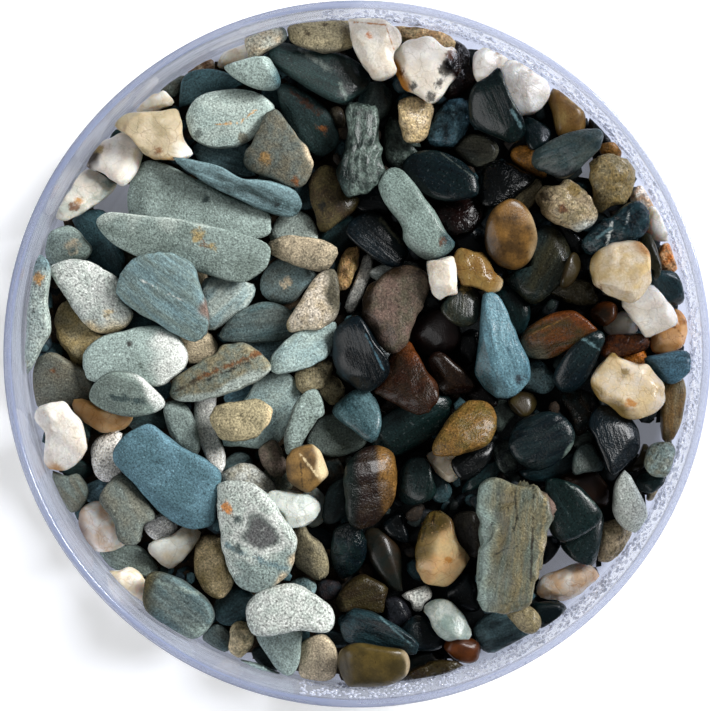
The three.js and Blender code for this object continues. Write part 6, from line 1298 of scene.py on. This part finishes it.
def stone_material(kind):
    """The finish of one kind of stone: two tones mixed by a mottle, lightened and darkened by the
    grain, with dark and light specks, cracks and stains with ragged borders."""
    look = FINISHES[kind]
    shader = Shader(kind)
    place = shader.attribute("place", "Vector")
    wet = shader.attribute("wet", "Fac")
    streak = look.get("streak", 1)
    drawn = shader.stretch(place, (1 / streak, 1, 1)) if streak > 1 else place
    size, amount = look["mottle"]
    mottle = shader.noise(drawn, size, 5, 0.62)
    cover = shader.step(mottle, 0.5 - MOTTLE_SOFT, 0.5 + MOTTLE_SOFT, 0, amount)
    colour = shader.mix(
        cover, shader.attribute("tone", "Color"), shader.attribute("second", "Color"))
    if "lines" in look:
        size, amount = look["lines"]
        lines = shader.noise(shader.stretch(place, (LINE_STRETCH, 1, 1)), size, 3)
        gain = LINE_GAIN * amount
        colour = shader.shaded(colour, shader.line(lines, 1 - gain, 1 + gain))
    size, amount = look["grain"]
    grain = shader.noise(place, size, 2, 0.5)
    gain = GRAIN_GAIN * amount
    shade = shader.math("MAXIMUM", shader.line(grain, 1 - gain, 1 + gain), DARKEST_GRAIN)
    colour = shader.shaded(colour, shade)
    for key, seed, target, lift in SPECKS_AND_GLINTS:
        if key in look:
            size, amount = look[key]
            moved = shader.vector("ADD", place, (seed, seed, seed))
            specks = shader.noise(moved, size, 2, 0.5)
            border = SPECK_BORDER - SPECK_GAIN * amount
            # light specks: partly pale grains, partly painted glints, lifted so they show on dark wet
            # stones
            fleck = shader.mix(1.0, colour, (target, target, target, 1), "MULTIPLY")
            fleck = shader.mix(1.0, fleck, (lift, lift, lift, 1), "ADD")
            cover = shader.step(specks, border, border + SPECK_SOFT, 0, MARK_COVER)
            colour = shader.mix(cover, colour, fleck)
    ragged = shader.noise(place, RAGGED_SIZE, 5, 0.7)
    field = shader.math("ADD", shader.attribute("field", "Fac"),
                        shader.line(ragged, -RAGGED_GAIN, RAGGED_GAIN))
    stain = shader.shaded(shader.attribute("stain", "Color"), shade)
    colour = shader.mix(shader.step(field, *STAIN_BORDER, 0, MARK_COVER), colour, stain)
    height = shader.math("ADD", grain, shader.math("MULTIPLY", mottle, COARSE_RISE))
    if "lines" in look:
        height = shader.math("ADD", height, shader.math("MULTIPLY", lines, COARSE_RISE))
    if "cracks" in look:
        size, amount = look["cracks"]
        bent = shader.add("ShaderNodeTexNoise", {
            "Vector": place, "Scale": CRACK_SCALE, "Detail": 3}).outputs["Color"]
        warped = shader.vector(
            "ADD", shader.stretch(bent, (CRACK_BEND, CRACK_BEND, CRACK_BEND)), place)
        cells = shader.add("ShaderNodeTexVoronoi", {"Vector": warped, "Scale": 1 / size},
                           feature="DISTANCE_TO_EDGE").outputs["Distance"]
        crack = shader.step(cells, 0.0, CRACK_WIDTH, amount, 0)
        colour = shader.mix(crack, colour, shader.attribute("second", "Color"), "MULTIPLY")
        height = shader.math("SUBTRACT", height, crack)
    bump = shader.add("ShaderNodeBump", {
        "Height": height, "Distance": look["bump"] * MM * settings().stones.bump, "Strength": 1.0})
    dry, soaked = look["rough"]
    roughness = shader.math("ADD", shader.line(wet, dry, soaked),
                            shader.line(grain, -UNEVEN_GLOSS, UNEVEN_GLOSS))
    return shader.finish(shader.principled(
        Base_Color=colour, Roughness=roughness, Normal=bump.outputs[0],
        Subsurface_Weight=look.get("glow", 0), Subsurface_Radius=GLOW_RADIUS,
        Subsurface_Scale=GLOW_SCALE, Specular_IOR_Level=STONE_SPECULAR,
        Coat_Weight=shader.math("MULTIPLY", wet, WATER_COAT), Coat_Roughness=COAT_ROUGHNESS))


def plastic_material():
    """Clear plastic. Light passes straight through it with a little tint. Its surface scatters a
    share, more on the wall, along fine lines around it and at the rim, and below the rim less where
    it is seen face on. It mirrors the more the flatter it is seen, but not where drops hang on it.
    A wavy film of water lies on it where the heap is wet."""
    look = settings().dish
    shader = Shader("dish_plastic")
    lay = shader.attribute("place", "Vector")
    wall = shader.attribute("wall", "Fac")
    wet = shader.attribute("wet", "Fac")
    film = shader.math("MULTIPLY", shader.noise(lay, FILM_SIZE, 2), wet)
    drops = shader.noise(shader.stretch(lay, (1, DROP_STRETCH, 0)), DROP_SIZE, 2, 0.6)
    drops = shader.math("MULTIPLY", shader.step(drops, *DROP_BORDER), wet)
    upright = shader.add("ShaderNodeSeparateXYZ", {0: lay}).outputs[1]
    rim = shader.step(upright, DISH_HEIGHT - RIM_LOW, DISH_HEIGHT - RIM_FULL)
    lines = shader.noise(shader.stretch(lay, (RING_STRETCH, 1, 1)), RING_SIZE, 3)
    waved = shader.add("ShaderNodeBump", {
        "Height": film, "Distance": look.ripple, "Strength": 1.0}).outputs[0]
    lined = shader.add("ShaderNodeBump", {
        "Height": shader.math("MULTIPLY", lines, wall), "Distance": look.rings, "Strength": 1.0,
        "Normal": waved}).outputs[0]
    through = shader.add("ShaderNodeBsdfTransparent", {"Color": (*look.tint, 1)}).outputs[0]
    mirror = shader.add("ShaderNodeBsdfGlossy", {
        "Roughness": MIRROR_ROUGHNESS, "Normal": lined}).outputs[0]
    flat = shader.add("ShaderNodeLayerWeight", {"Blend": 0.5, "Normal": lined}).outputs["Facing"]
    edge_on = shader.line(shader.math("POWER", flat, MIRROR_POWER), LEAST_MIRROR, MOST_MIRROR)
    edge_on = shader.math("MULTIPLY", edge_on, shader.line(drops, 1.0, DROP_LEAVES))
    clear = shader.blend(edge_on, through, mirror)
    bloom = shader.mix(rim, (*look.bloom, 1), (*look.rim, 1))
    milky = shader.principled(Base_Color=bloom, Roughness=HAZE_ROUGHNESS, Normal=lined)
    marked = shader.math("MULTIPLY", shader.step(lines, *RING_BORDER, 0, look.lines), wall)
    marked = shader.math("MULTIPLY", marked, shader.line(wet, 1.0, WATER_LEAVES))
    marked = shader.math("ADD", marked, shader.math("MULTIPLY", rim, RIM_HAZE))
    scattered = shader.math("ADD", shader.line(wall, look.clear, look.haze), marked)
    shown = shader.step(flat, FACING_LOW, FACING_FULL, LEAST_HAZE, 1.0)
    shown = shader.math("MAXIMUM", shown, rim)
    scattered = shader.math("MULTIPLY", scattered, shown)
    return shader.finish(shader.blend(scattered, clear, milky))


def water_material():
    """Water beads: clear in the middle, and towards their outline glossy and painted pale, a painted
    sheen for the light that they reflect and bend.
    """
    shader = Shader("water")
    through = shader.add("ShaderNodeBsdfTransparent", {"Color": (1, 1, 1, 1)}).outputs[0]
    # pale diffuse colour of the beads: a painted sheen beside their real gloss
    pale = shader.principled(Base_Color=BEAD_SHEEN_COLOUR, Roughness=BEAD_ROUGHNESS)
    flat = shader.add("ShaderNodeLayerWeight", {"Blend": 0.5}).outputs["Facing"]
    return shader.finish(shader.blend(shader.line(flat, BEAD_CLEAR, BEAD_SHEEN_AT_OUTLINE), through, pale))


def shared(name, make, *details):
    """A material made once and shared."""
    return bpy.data.materials.get(name) or make(*details)


# Operators

def place_named(kinds):
    """The stones of the top layer that are of some kinds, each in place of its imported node."""
    for name, kind, tones, marks, _ in stone_rows(NAMED_STONES):
        if kind not in kinds:
            continue
        stone = packed_stone(name, kind, tones, marks)
        count = points_around(stone, NAMED_SPACING, NAMED_AROUND)
        points, triangles, colours = worked_stone(stone, count)
        piece = put_mesh(f"{name}_stone", points, triangles, colours,
                         shared(kind, stone_material, kind))
        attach(piece, "root")
        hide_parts(name)


class GRAVEL_OT_slates(bpy.types.Operator):
    """Make the slates, greywackes and layered stones of the top layer"""

    bl_idname = "gravel.slates"
    bl_label = "Slates"

    def execute(self, context):
        place_named(("slate", "greywacke", "layered", "slab", "bark", "crinkled"))
        return {"FINISHED"}


class GRAVEL_OT_pale_stones(bpy.types.Operator):
    """Make the quartz, quartzite and granite of the top layer"""

    bl_idname = "gravel.pale_stones"
    bl_label = "Quartz and granite"

    def execute(self, context):
        place_named(("quartz", "quartzite", "granite"))
        return {"FINISHED"}


class GRAVEL_OT_warm_stones(bpy.types.Operator):
    """Make the sandstones and jaspers of the top layer"""

    bl_idname = "gravel.warm_stones"
    bl_label = "Sandstone and jasper"

    def execute(self, context):
        place_named(("sandstone", "jasper"))
        return {"FINISHED"}


class GRAVEL_OT_small_stones(bpy.types.Operator):
    """Make the small stones under and between the others, one mesh for each kind"""

    bl_idname = "gravel.small_stones"
    bl_label = "Small stones"

    def execute(self, context):
        stones = small_stones()
        for kind in FORMS:
            parts = []
            for stone in stones:
                if stone.kind == kind:
                    grit = stone.name.startswith("grit")
                    count = points_around(stone, SMALL_SPACING,
                                          GRIT_AROUND if grit else SMALL_AROUND)
                    parts.append(worked_stone(stone, count, GRIT_RINGS if grit else None))
            if not parts:
                continue
            starts = np.cumsum([0] + [len(points) for points, _, _ in parts])
            points = np.concatenate([part[0] for part in parts])
            triangles = np.concatenate([part[1] + start for part, start in zip(parts, starts)])
            colours = {key: np.concatenate([part[2][key] for part in parts])
                       for key in parts[0][2]}
            piece = put_mesh(f"small_{kind}_stones", points, triangles, colours,
                             shared(kind, stone_material, kind))
            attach(piece, "root")
            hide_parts("gravel_bed")
        return {"FINISHED"}


class GRAVEL_OT_shade_sheet(bpy.types.Operator):
    """Make the thin dark sheet on the dish's floor that paints the shade in the gaps between the
    stones, with gaps where the floor shows
    """

    bl_idname = "gravel.sand"
    bl_label = "Sand"

    def execute(self, context):
        half = math.ceil(GRIT_RADIUS / SHADE_SHEET_CELL)
        across = 2 * half + 1
        x, y = np.meshgrid(*[SHADE_SHEET_CELL * np.arange(-half, half + 1)] * 2, indexing="ij")
        mid_x, mid_y = x[:-1, :-1] + SHADE_SHEET_CELL / 2, y[:-1, :-1] + SHADE_SHEET_CELL / 2
        kept = np.hypot(mid_x, mid_y) < GRIT_RADIUS
        for open_x, open_y, reach in OPEN_FLOOR:
            kept &= np.hypot(mid_x - open_x, mid_y - open_y) > reach
        rng = np.random.default_rng(SHADE_SHEET_SEED)
        place = np.stack([x, y, 0 * x], -1).reshape(-1, 3)
        uneven = [waves(place, rng, length) for length in SHADE_SHEET_WAVES]
        low = place + np.stack([SHADE_SHEET_WAVER * uneven[0], SHADE_SHEET_WAVER * uneven[1], 0 * uneven[2]], 1)
        low[:, 2] = FLOOR + SHADE_SHEET_ABOVE
        high = low.copy()
        high[:, 2] += SHADE_SHEET_THICK * (1 + SHADE_SHEET_WAVER * uneven[2])
        number = np.arange(across ** 2).reshape(across, across)
        corners = [number[:-1, :-1], number[1:, :-1], number[1:, 1:], number[:-1, 1:]]
        beyond = np.pad(kept, 1)
        bare = [~beyond[1:-1, :-2], ~beyond[2:, 1:-1], ~beyond[1:-1, 2:], ~beyond[:-2, 1:-1]]
        lift = across ** 2
        squares = [np.stack([c[kept] + lift for c in corners], 1),
                   np.stack([c[kept] for c in corners[::-1]], 1)]
        for k in range(4):
            edge = kept & bare[k]
            start, stop = corners[k][edge], corners[(k + 1) % 4][edge]
            squares.append(np.stack([start, stop, stop + lift, start + lift], 1))
        squares = np.concatenate(squares)
        used, squares = np.unique(squares, return_inverse=True)
        squares = squares.reshape(-1, 4)
        points = np.concatenate([low, high])[used]
        triangles = np.concatenate([squares[:, [0, 1, 2]], squares[:, [0, 2, 3]]])
        wet = smooth(points[:, 0], WET_EDGE - WET_WIDTH, WET_EDGE + WET_WIDTH)
        dry_shade_tone, wet_shade_tone = (tone(name) for name in SHADE_SHEET_TONES)
        shade = dry_shade_tone + (wet_shade_tone - dry_shade_tone) * wet[:, None]
        # the sheet named sand is painted shade: a dark layer where the gaps between the stones lie in
        # deep shade
        piece = put_mesh("sand", points, triangles, {
            "place": points + SHADE_SHEET_SHIFT, "tone": shade, "second": SHADE_SHEET_SECOND * shade,
            "stain": shade, "field": 0 * wet, "wet": GRIT_GLOSS * wet,
        }, shared("greywacke", stone_material, "greywacke"))
        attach(piece, "root")
        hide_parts("gravel_bed")
        return {"FINISHED"}


def wall_radius(height):
    """The inner wall's radius at a height: a straight line with a slight draft."""
    share = (height - FLOOR - EDGE) / (DISH_HEIGHT - EDGE / 2 - FLOOR - EDGE)
    return RIM_RADIUS - WALL - DRAFT * (1 - share)


class GRAVEL_OT_dish(bpy.types.Operator):
    """Make the clear dish: its profile turned about the upright axis"""

    bl_idname = "gravel.dish"
    bl_label = "Dish"

    def execute(self, context):
        inner_rim, base = RIM_RADIUS - WALL, RIM_RADIUS - DRAFT
        lip = np.stack([RIM_RADIUS - WALL / 2 + WALL / 2 * np.cos(LIP_BEND),
                        DISH_HEIGHT - EDGE / 2 + EDGE / 2 * np.sin(LIP_BEND)], 1)
        cos, sin = np.cos(CORNER_BEND), np.sin(CORNER_BEND)
        heel = np.stack([base - EDGE + EDGE * sin, EDGE - EDGE * cos], 1)
        cove = np.stack([base - WALL - EDGE + EDGE * cos, FLOOR + EDGE - EDGE * sin], 1)
        profile = np.concatenate([
            [[DISH_MIDDLE, 0]], heel, [[RIM_RADIUS, DISH_HEIGHT - EDGE / 2]], lip,
            [[inner_rim, DISH_HEIGHT - EDGE / 2]], cove, [[DISH_MIDDLE, FLOOR]],
        ])
        turn = even_turns(DISH_SEGMENTS)
        rings = np.stack([
            profile[:, :1] * np.cos(turn), profile[:, :1] * np.sin(turn),
            profile[:, 1:] * np.ones(DISH_SEGMENTS)], -1).reshape(-1, 3)
        points = np.concatenate([[[0, 0, 0]], rings, [[0, 0, FLOOR]]])
        rng = np.random.default_rng(DISH_SEED)
        waver = waves(points, rng, DISH_WAVER_LENGTH)
        wet = smooth(points[:, 0] + DISH_WAVER * waver,
                     WET_EDGE - DISH_WET_WIDTH, WET_EDGE + DISH_WET_WIDTH)
        wall = smooth(np.hypot(points[:, 0], points[:, 1]), base - WALL - 1, base - WALL)
        around_wall = RIM_RADIUS * np.abs(np.arctan2(points[:, 1], points[:, 0]))
        lay = np.stack([around_wall, points[:, 2], np.hypot(points[:, 0], points[:, 1])], 1)
        piece = put_mesh("clear_dish", points, skin_grid(DISH_SEGMENTS, len(profile)),
                         {"wet": wet, "wall": wall, "place": lay},
                         shared("dish_plastic", plastic_material))
        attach(piece, "root")
        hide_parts("dish")
        return {"FINISHED"}


class GRAVEL_OT_droplets(bpy.types.Operator):
    """Make the water beads on the inside of the wall, along the wet half of the heap"""

    bl_idname = "gravel.droplets"
    bl_label = "Water beads"

    def execute(self, context):
        wanted = settings().dish
        rng = np.random.default_rng(BEAD_SEED)
        turn = np.radians(rng.uniform(*BEAD_TURNS, wanted.beads))
        height = rng.uniform(BEAD_LOWEST, DISH_HEIGHT - BEAD_UNDER_RIM, wanted.beads)
        radius = wanted.bead_radius / MM * rng.uniform(*BEAD_SIZES, wanted.beads) ** 2
        angle, latitude = even_turns(BEAD_AROUND), latitudes(BEAD_RINGS)
        unit = np.stack([
            np.sin(latitude)[:, None] * np.ones(BEAD_AROUND),
            np.cos(latitude)[:, None] * np.cos(angle),
            np.cos(latitude)[:, None] * np.sin(angle)], -1).reshape(-1, 3)
        unit = np.concatenate([[[-1, 0, 0]], unit, [[1, 0, 0]]])
        squash = np.stack([
            BEAD_DEPTH * np.ones(wanted.beads), rng.uniform(*BEAD_WIDTHS, wanted.beads),
            rng.uniform(*BEAD_HEIGHTS, wanted.beads)], 1)
        bead = unit[None] * (radius[:, None] * squash)[:, None]
        bead[..., 0] += (wall_radius(height) - BEAD_SUNK * radius)[:, None]
        bead[..., 2] += height[:, None]
        cos, sin = np.cos(turn)[:, None], np.sin(turn)[:, None]
        points = np.stack([bead[..., 0] * cos - bead[..., 1] * sin,
                           bead[..., 0] * sin + bead[..., 1] * cos, bead[..., 2]], -1)
        starts = np.arange(wanted.beads)[:, None, None] * len(unit)
        triangles = (skin_grid(BEAD_AROUND, BEAD_RINGS)[None] + starts).reshape(-1, 3)
        piece = put_mesh("water_beads", points.reshape(-1, 3), triangles, {},
                         shared("water", water_material))
        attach(piece, "root")
        return {"FINISHED"}


class GRAVEL_OT_stage(bpy.types.Operator):
    """Make the floor, the soft light and the camera"""

    bl_idname = "gravel.stage"
    bl_label = "Stage"

    def execute(self, context):
        stage = settings().stage
        scene = context.scene
        shader = Shader("floor_white")
        grain = shader.add("ShaderNodeTexNoise", {"Scale": PAPER_SCALE, "Detail": 2})
        bump = shader.add("ShaderNodeBump", {
            "Height": grain.outputs["Fac"], "Distance": PAPER_RISE, "Strength": PAPER_STRENGTH})
        paper = shader.finish(shader.principled(
            Base_Color=(*stage.floor, 1), Roughness=PAPER_ROUGHNESS, Normal=bump.outputs[0],
            Emission_Color=(1, 1, 1, 1), Emission_Strength=FLOOR_GLOW))
        corners = np.array([[-1, -1, 0], [1, -1, 0], [1, 1, 0], [-1, 1, 0]]) * FLOOR_REACH
        corners[:, 2] -= FLOOR_BELOW
        floor = put_mesh("floor", corners, np.array([[0, 1, 2], [0, 2, 3]]), {}, paper)
        floor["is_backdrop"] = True

        for name, place, size, power in (
                ("key", KEY_PLACE, stage.key_size, stage.key_power),
                ("fill", FILL_PLACE, stage.fill_size, stage.fill_power)):
            light = bpy.data.lights.new(name, "AREA")
            light.shape, light.size, light.energy = "SQUARE", size, power
            lamp = bpy.data.objects.new(name, light)
            lamp.location = place
            lamp.rotation_euler = Vector(place).to_track_quat("Z", "Y").to_euler()
            scene.collection.objects.link(lamp)

        world = bpy.data.worlds.new("studio")
        scene.world = world
        world.use_nodes = True
        background = world.node_tree.nodes["Background"].inputs
        background["Color"].default_value = SKY_COLOUR
        background["Strength"].default_value = stage.sky

        lens = bpy.data.cameras.new("camera")
        camera = bpy.data.objects.new("camera", lens)
        camera.location = (CAMERA_X, CAMERA_Y, stage.camera_height)
        aim = Vector((AIM_X, AIM_Y, DISH_HEIGHT * MM))
        back = camera.location - aim
        right = Vector((0, 1, 0)).cross(back).normalized()
        upward = back.cross(right).normalized()
        turned = Matrix((right, upward, back.normalized())).transposed()
        camera.rotation_euler = turned.to_euler()
        lens.sensor_width = SENSOR
        lens.lens = lens.sensor_width * back.length / stage.view_width
        lens.clip_start, lens.clip_end = NEAREST, FURTHEST
        scene.collection.objects.link(camera)
        scene.camera = camera
        scene.view_settings.view_transform = "Standard"
        return {"FINISHED"}


class GRAVEL_PT_panel(bpy.types.Panel):
    """Settings and steps of the gravel dish"""

    bl_idname = "GRAVEL_PT_panel"
    bl_label = "River Gravel"
    bl_space_type = "VIEW_3D"
    bl_region_type = "UI"
    bl_category = "Gravel"

    def draw(self, context):
        for group in ("stones", "dish", "stage", "tones"):
            owner = getattr(settings(), group)
            box = self.layout.box()
            box.label(text=group.capitalize())
            for key in owner.__annotations__:
                box.prop(owner, key)
        for operator in OPERATORS:
            self.layout.operator(operator.bl_idname)


OPERATORS = (
    GRAVEL_OT_stage, GRAVEL_OT_dish, GRAVEL_OT_slates, GRAVEL_OT_pale_stones,
    GRAVEL_OT_warm_stones, GRAVEL_OT_small_stones, GRAVEL_OT_shade_sheet, GRAVEL_OT_droplets,
)
CLASSES = (ToneSettings, DishSettings, StoneSettings, StageSettings, GravelSettings,
           *OPERATORS, GRAVEL_PT_panel)


def register():
    """Make Blender know the settings, the steps and the panel."""
    for item in CLASSES:
        bpy.utils.register_class(item)
    bpy.types.Scene.gravel = bpy.props.PointerProperty(type=GravelSettings)


def unregister():
    """Undo register."""
    del bpy.types.Scene.gravel
    for item in reversed(CLASSES):
        bpy.utils.unregister_class(item)


def main():
    """Make every piece in order."""
    register()
    for operator in OPERATORS:
        group, name = operator.bl_idname.split(".")
        if getattr(getattr(bpy.ops, group), name)() != {"FINISHED"}:
            raise RuntimeError(f"{operator.bl_label} did not finish")
    boxes = {"cad": CAD_BOX, "visual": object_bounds()}
    {key: [list(corner) for corner in box] for key, box in boxes.items()}


if __name__ == "__main__":
    main()
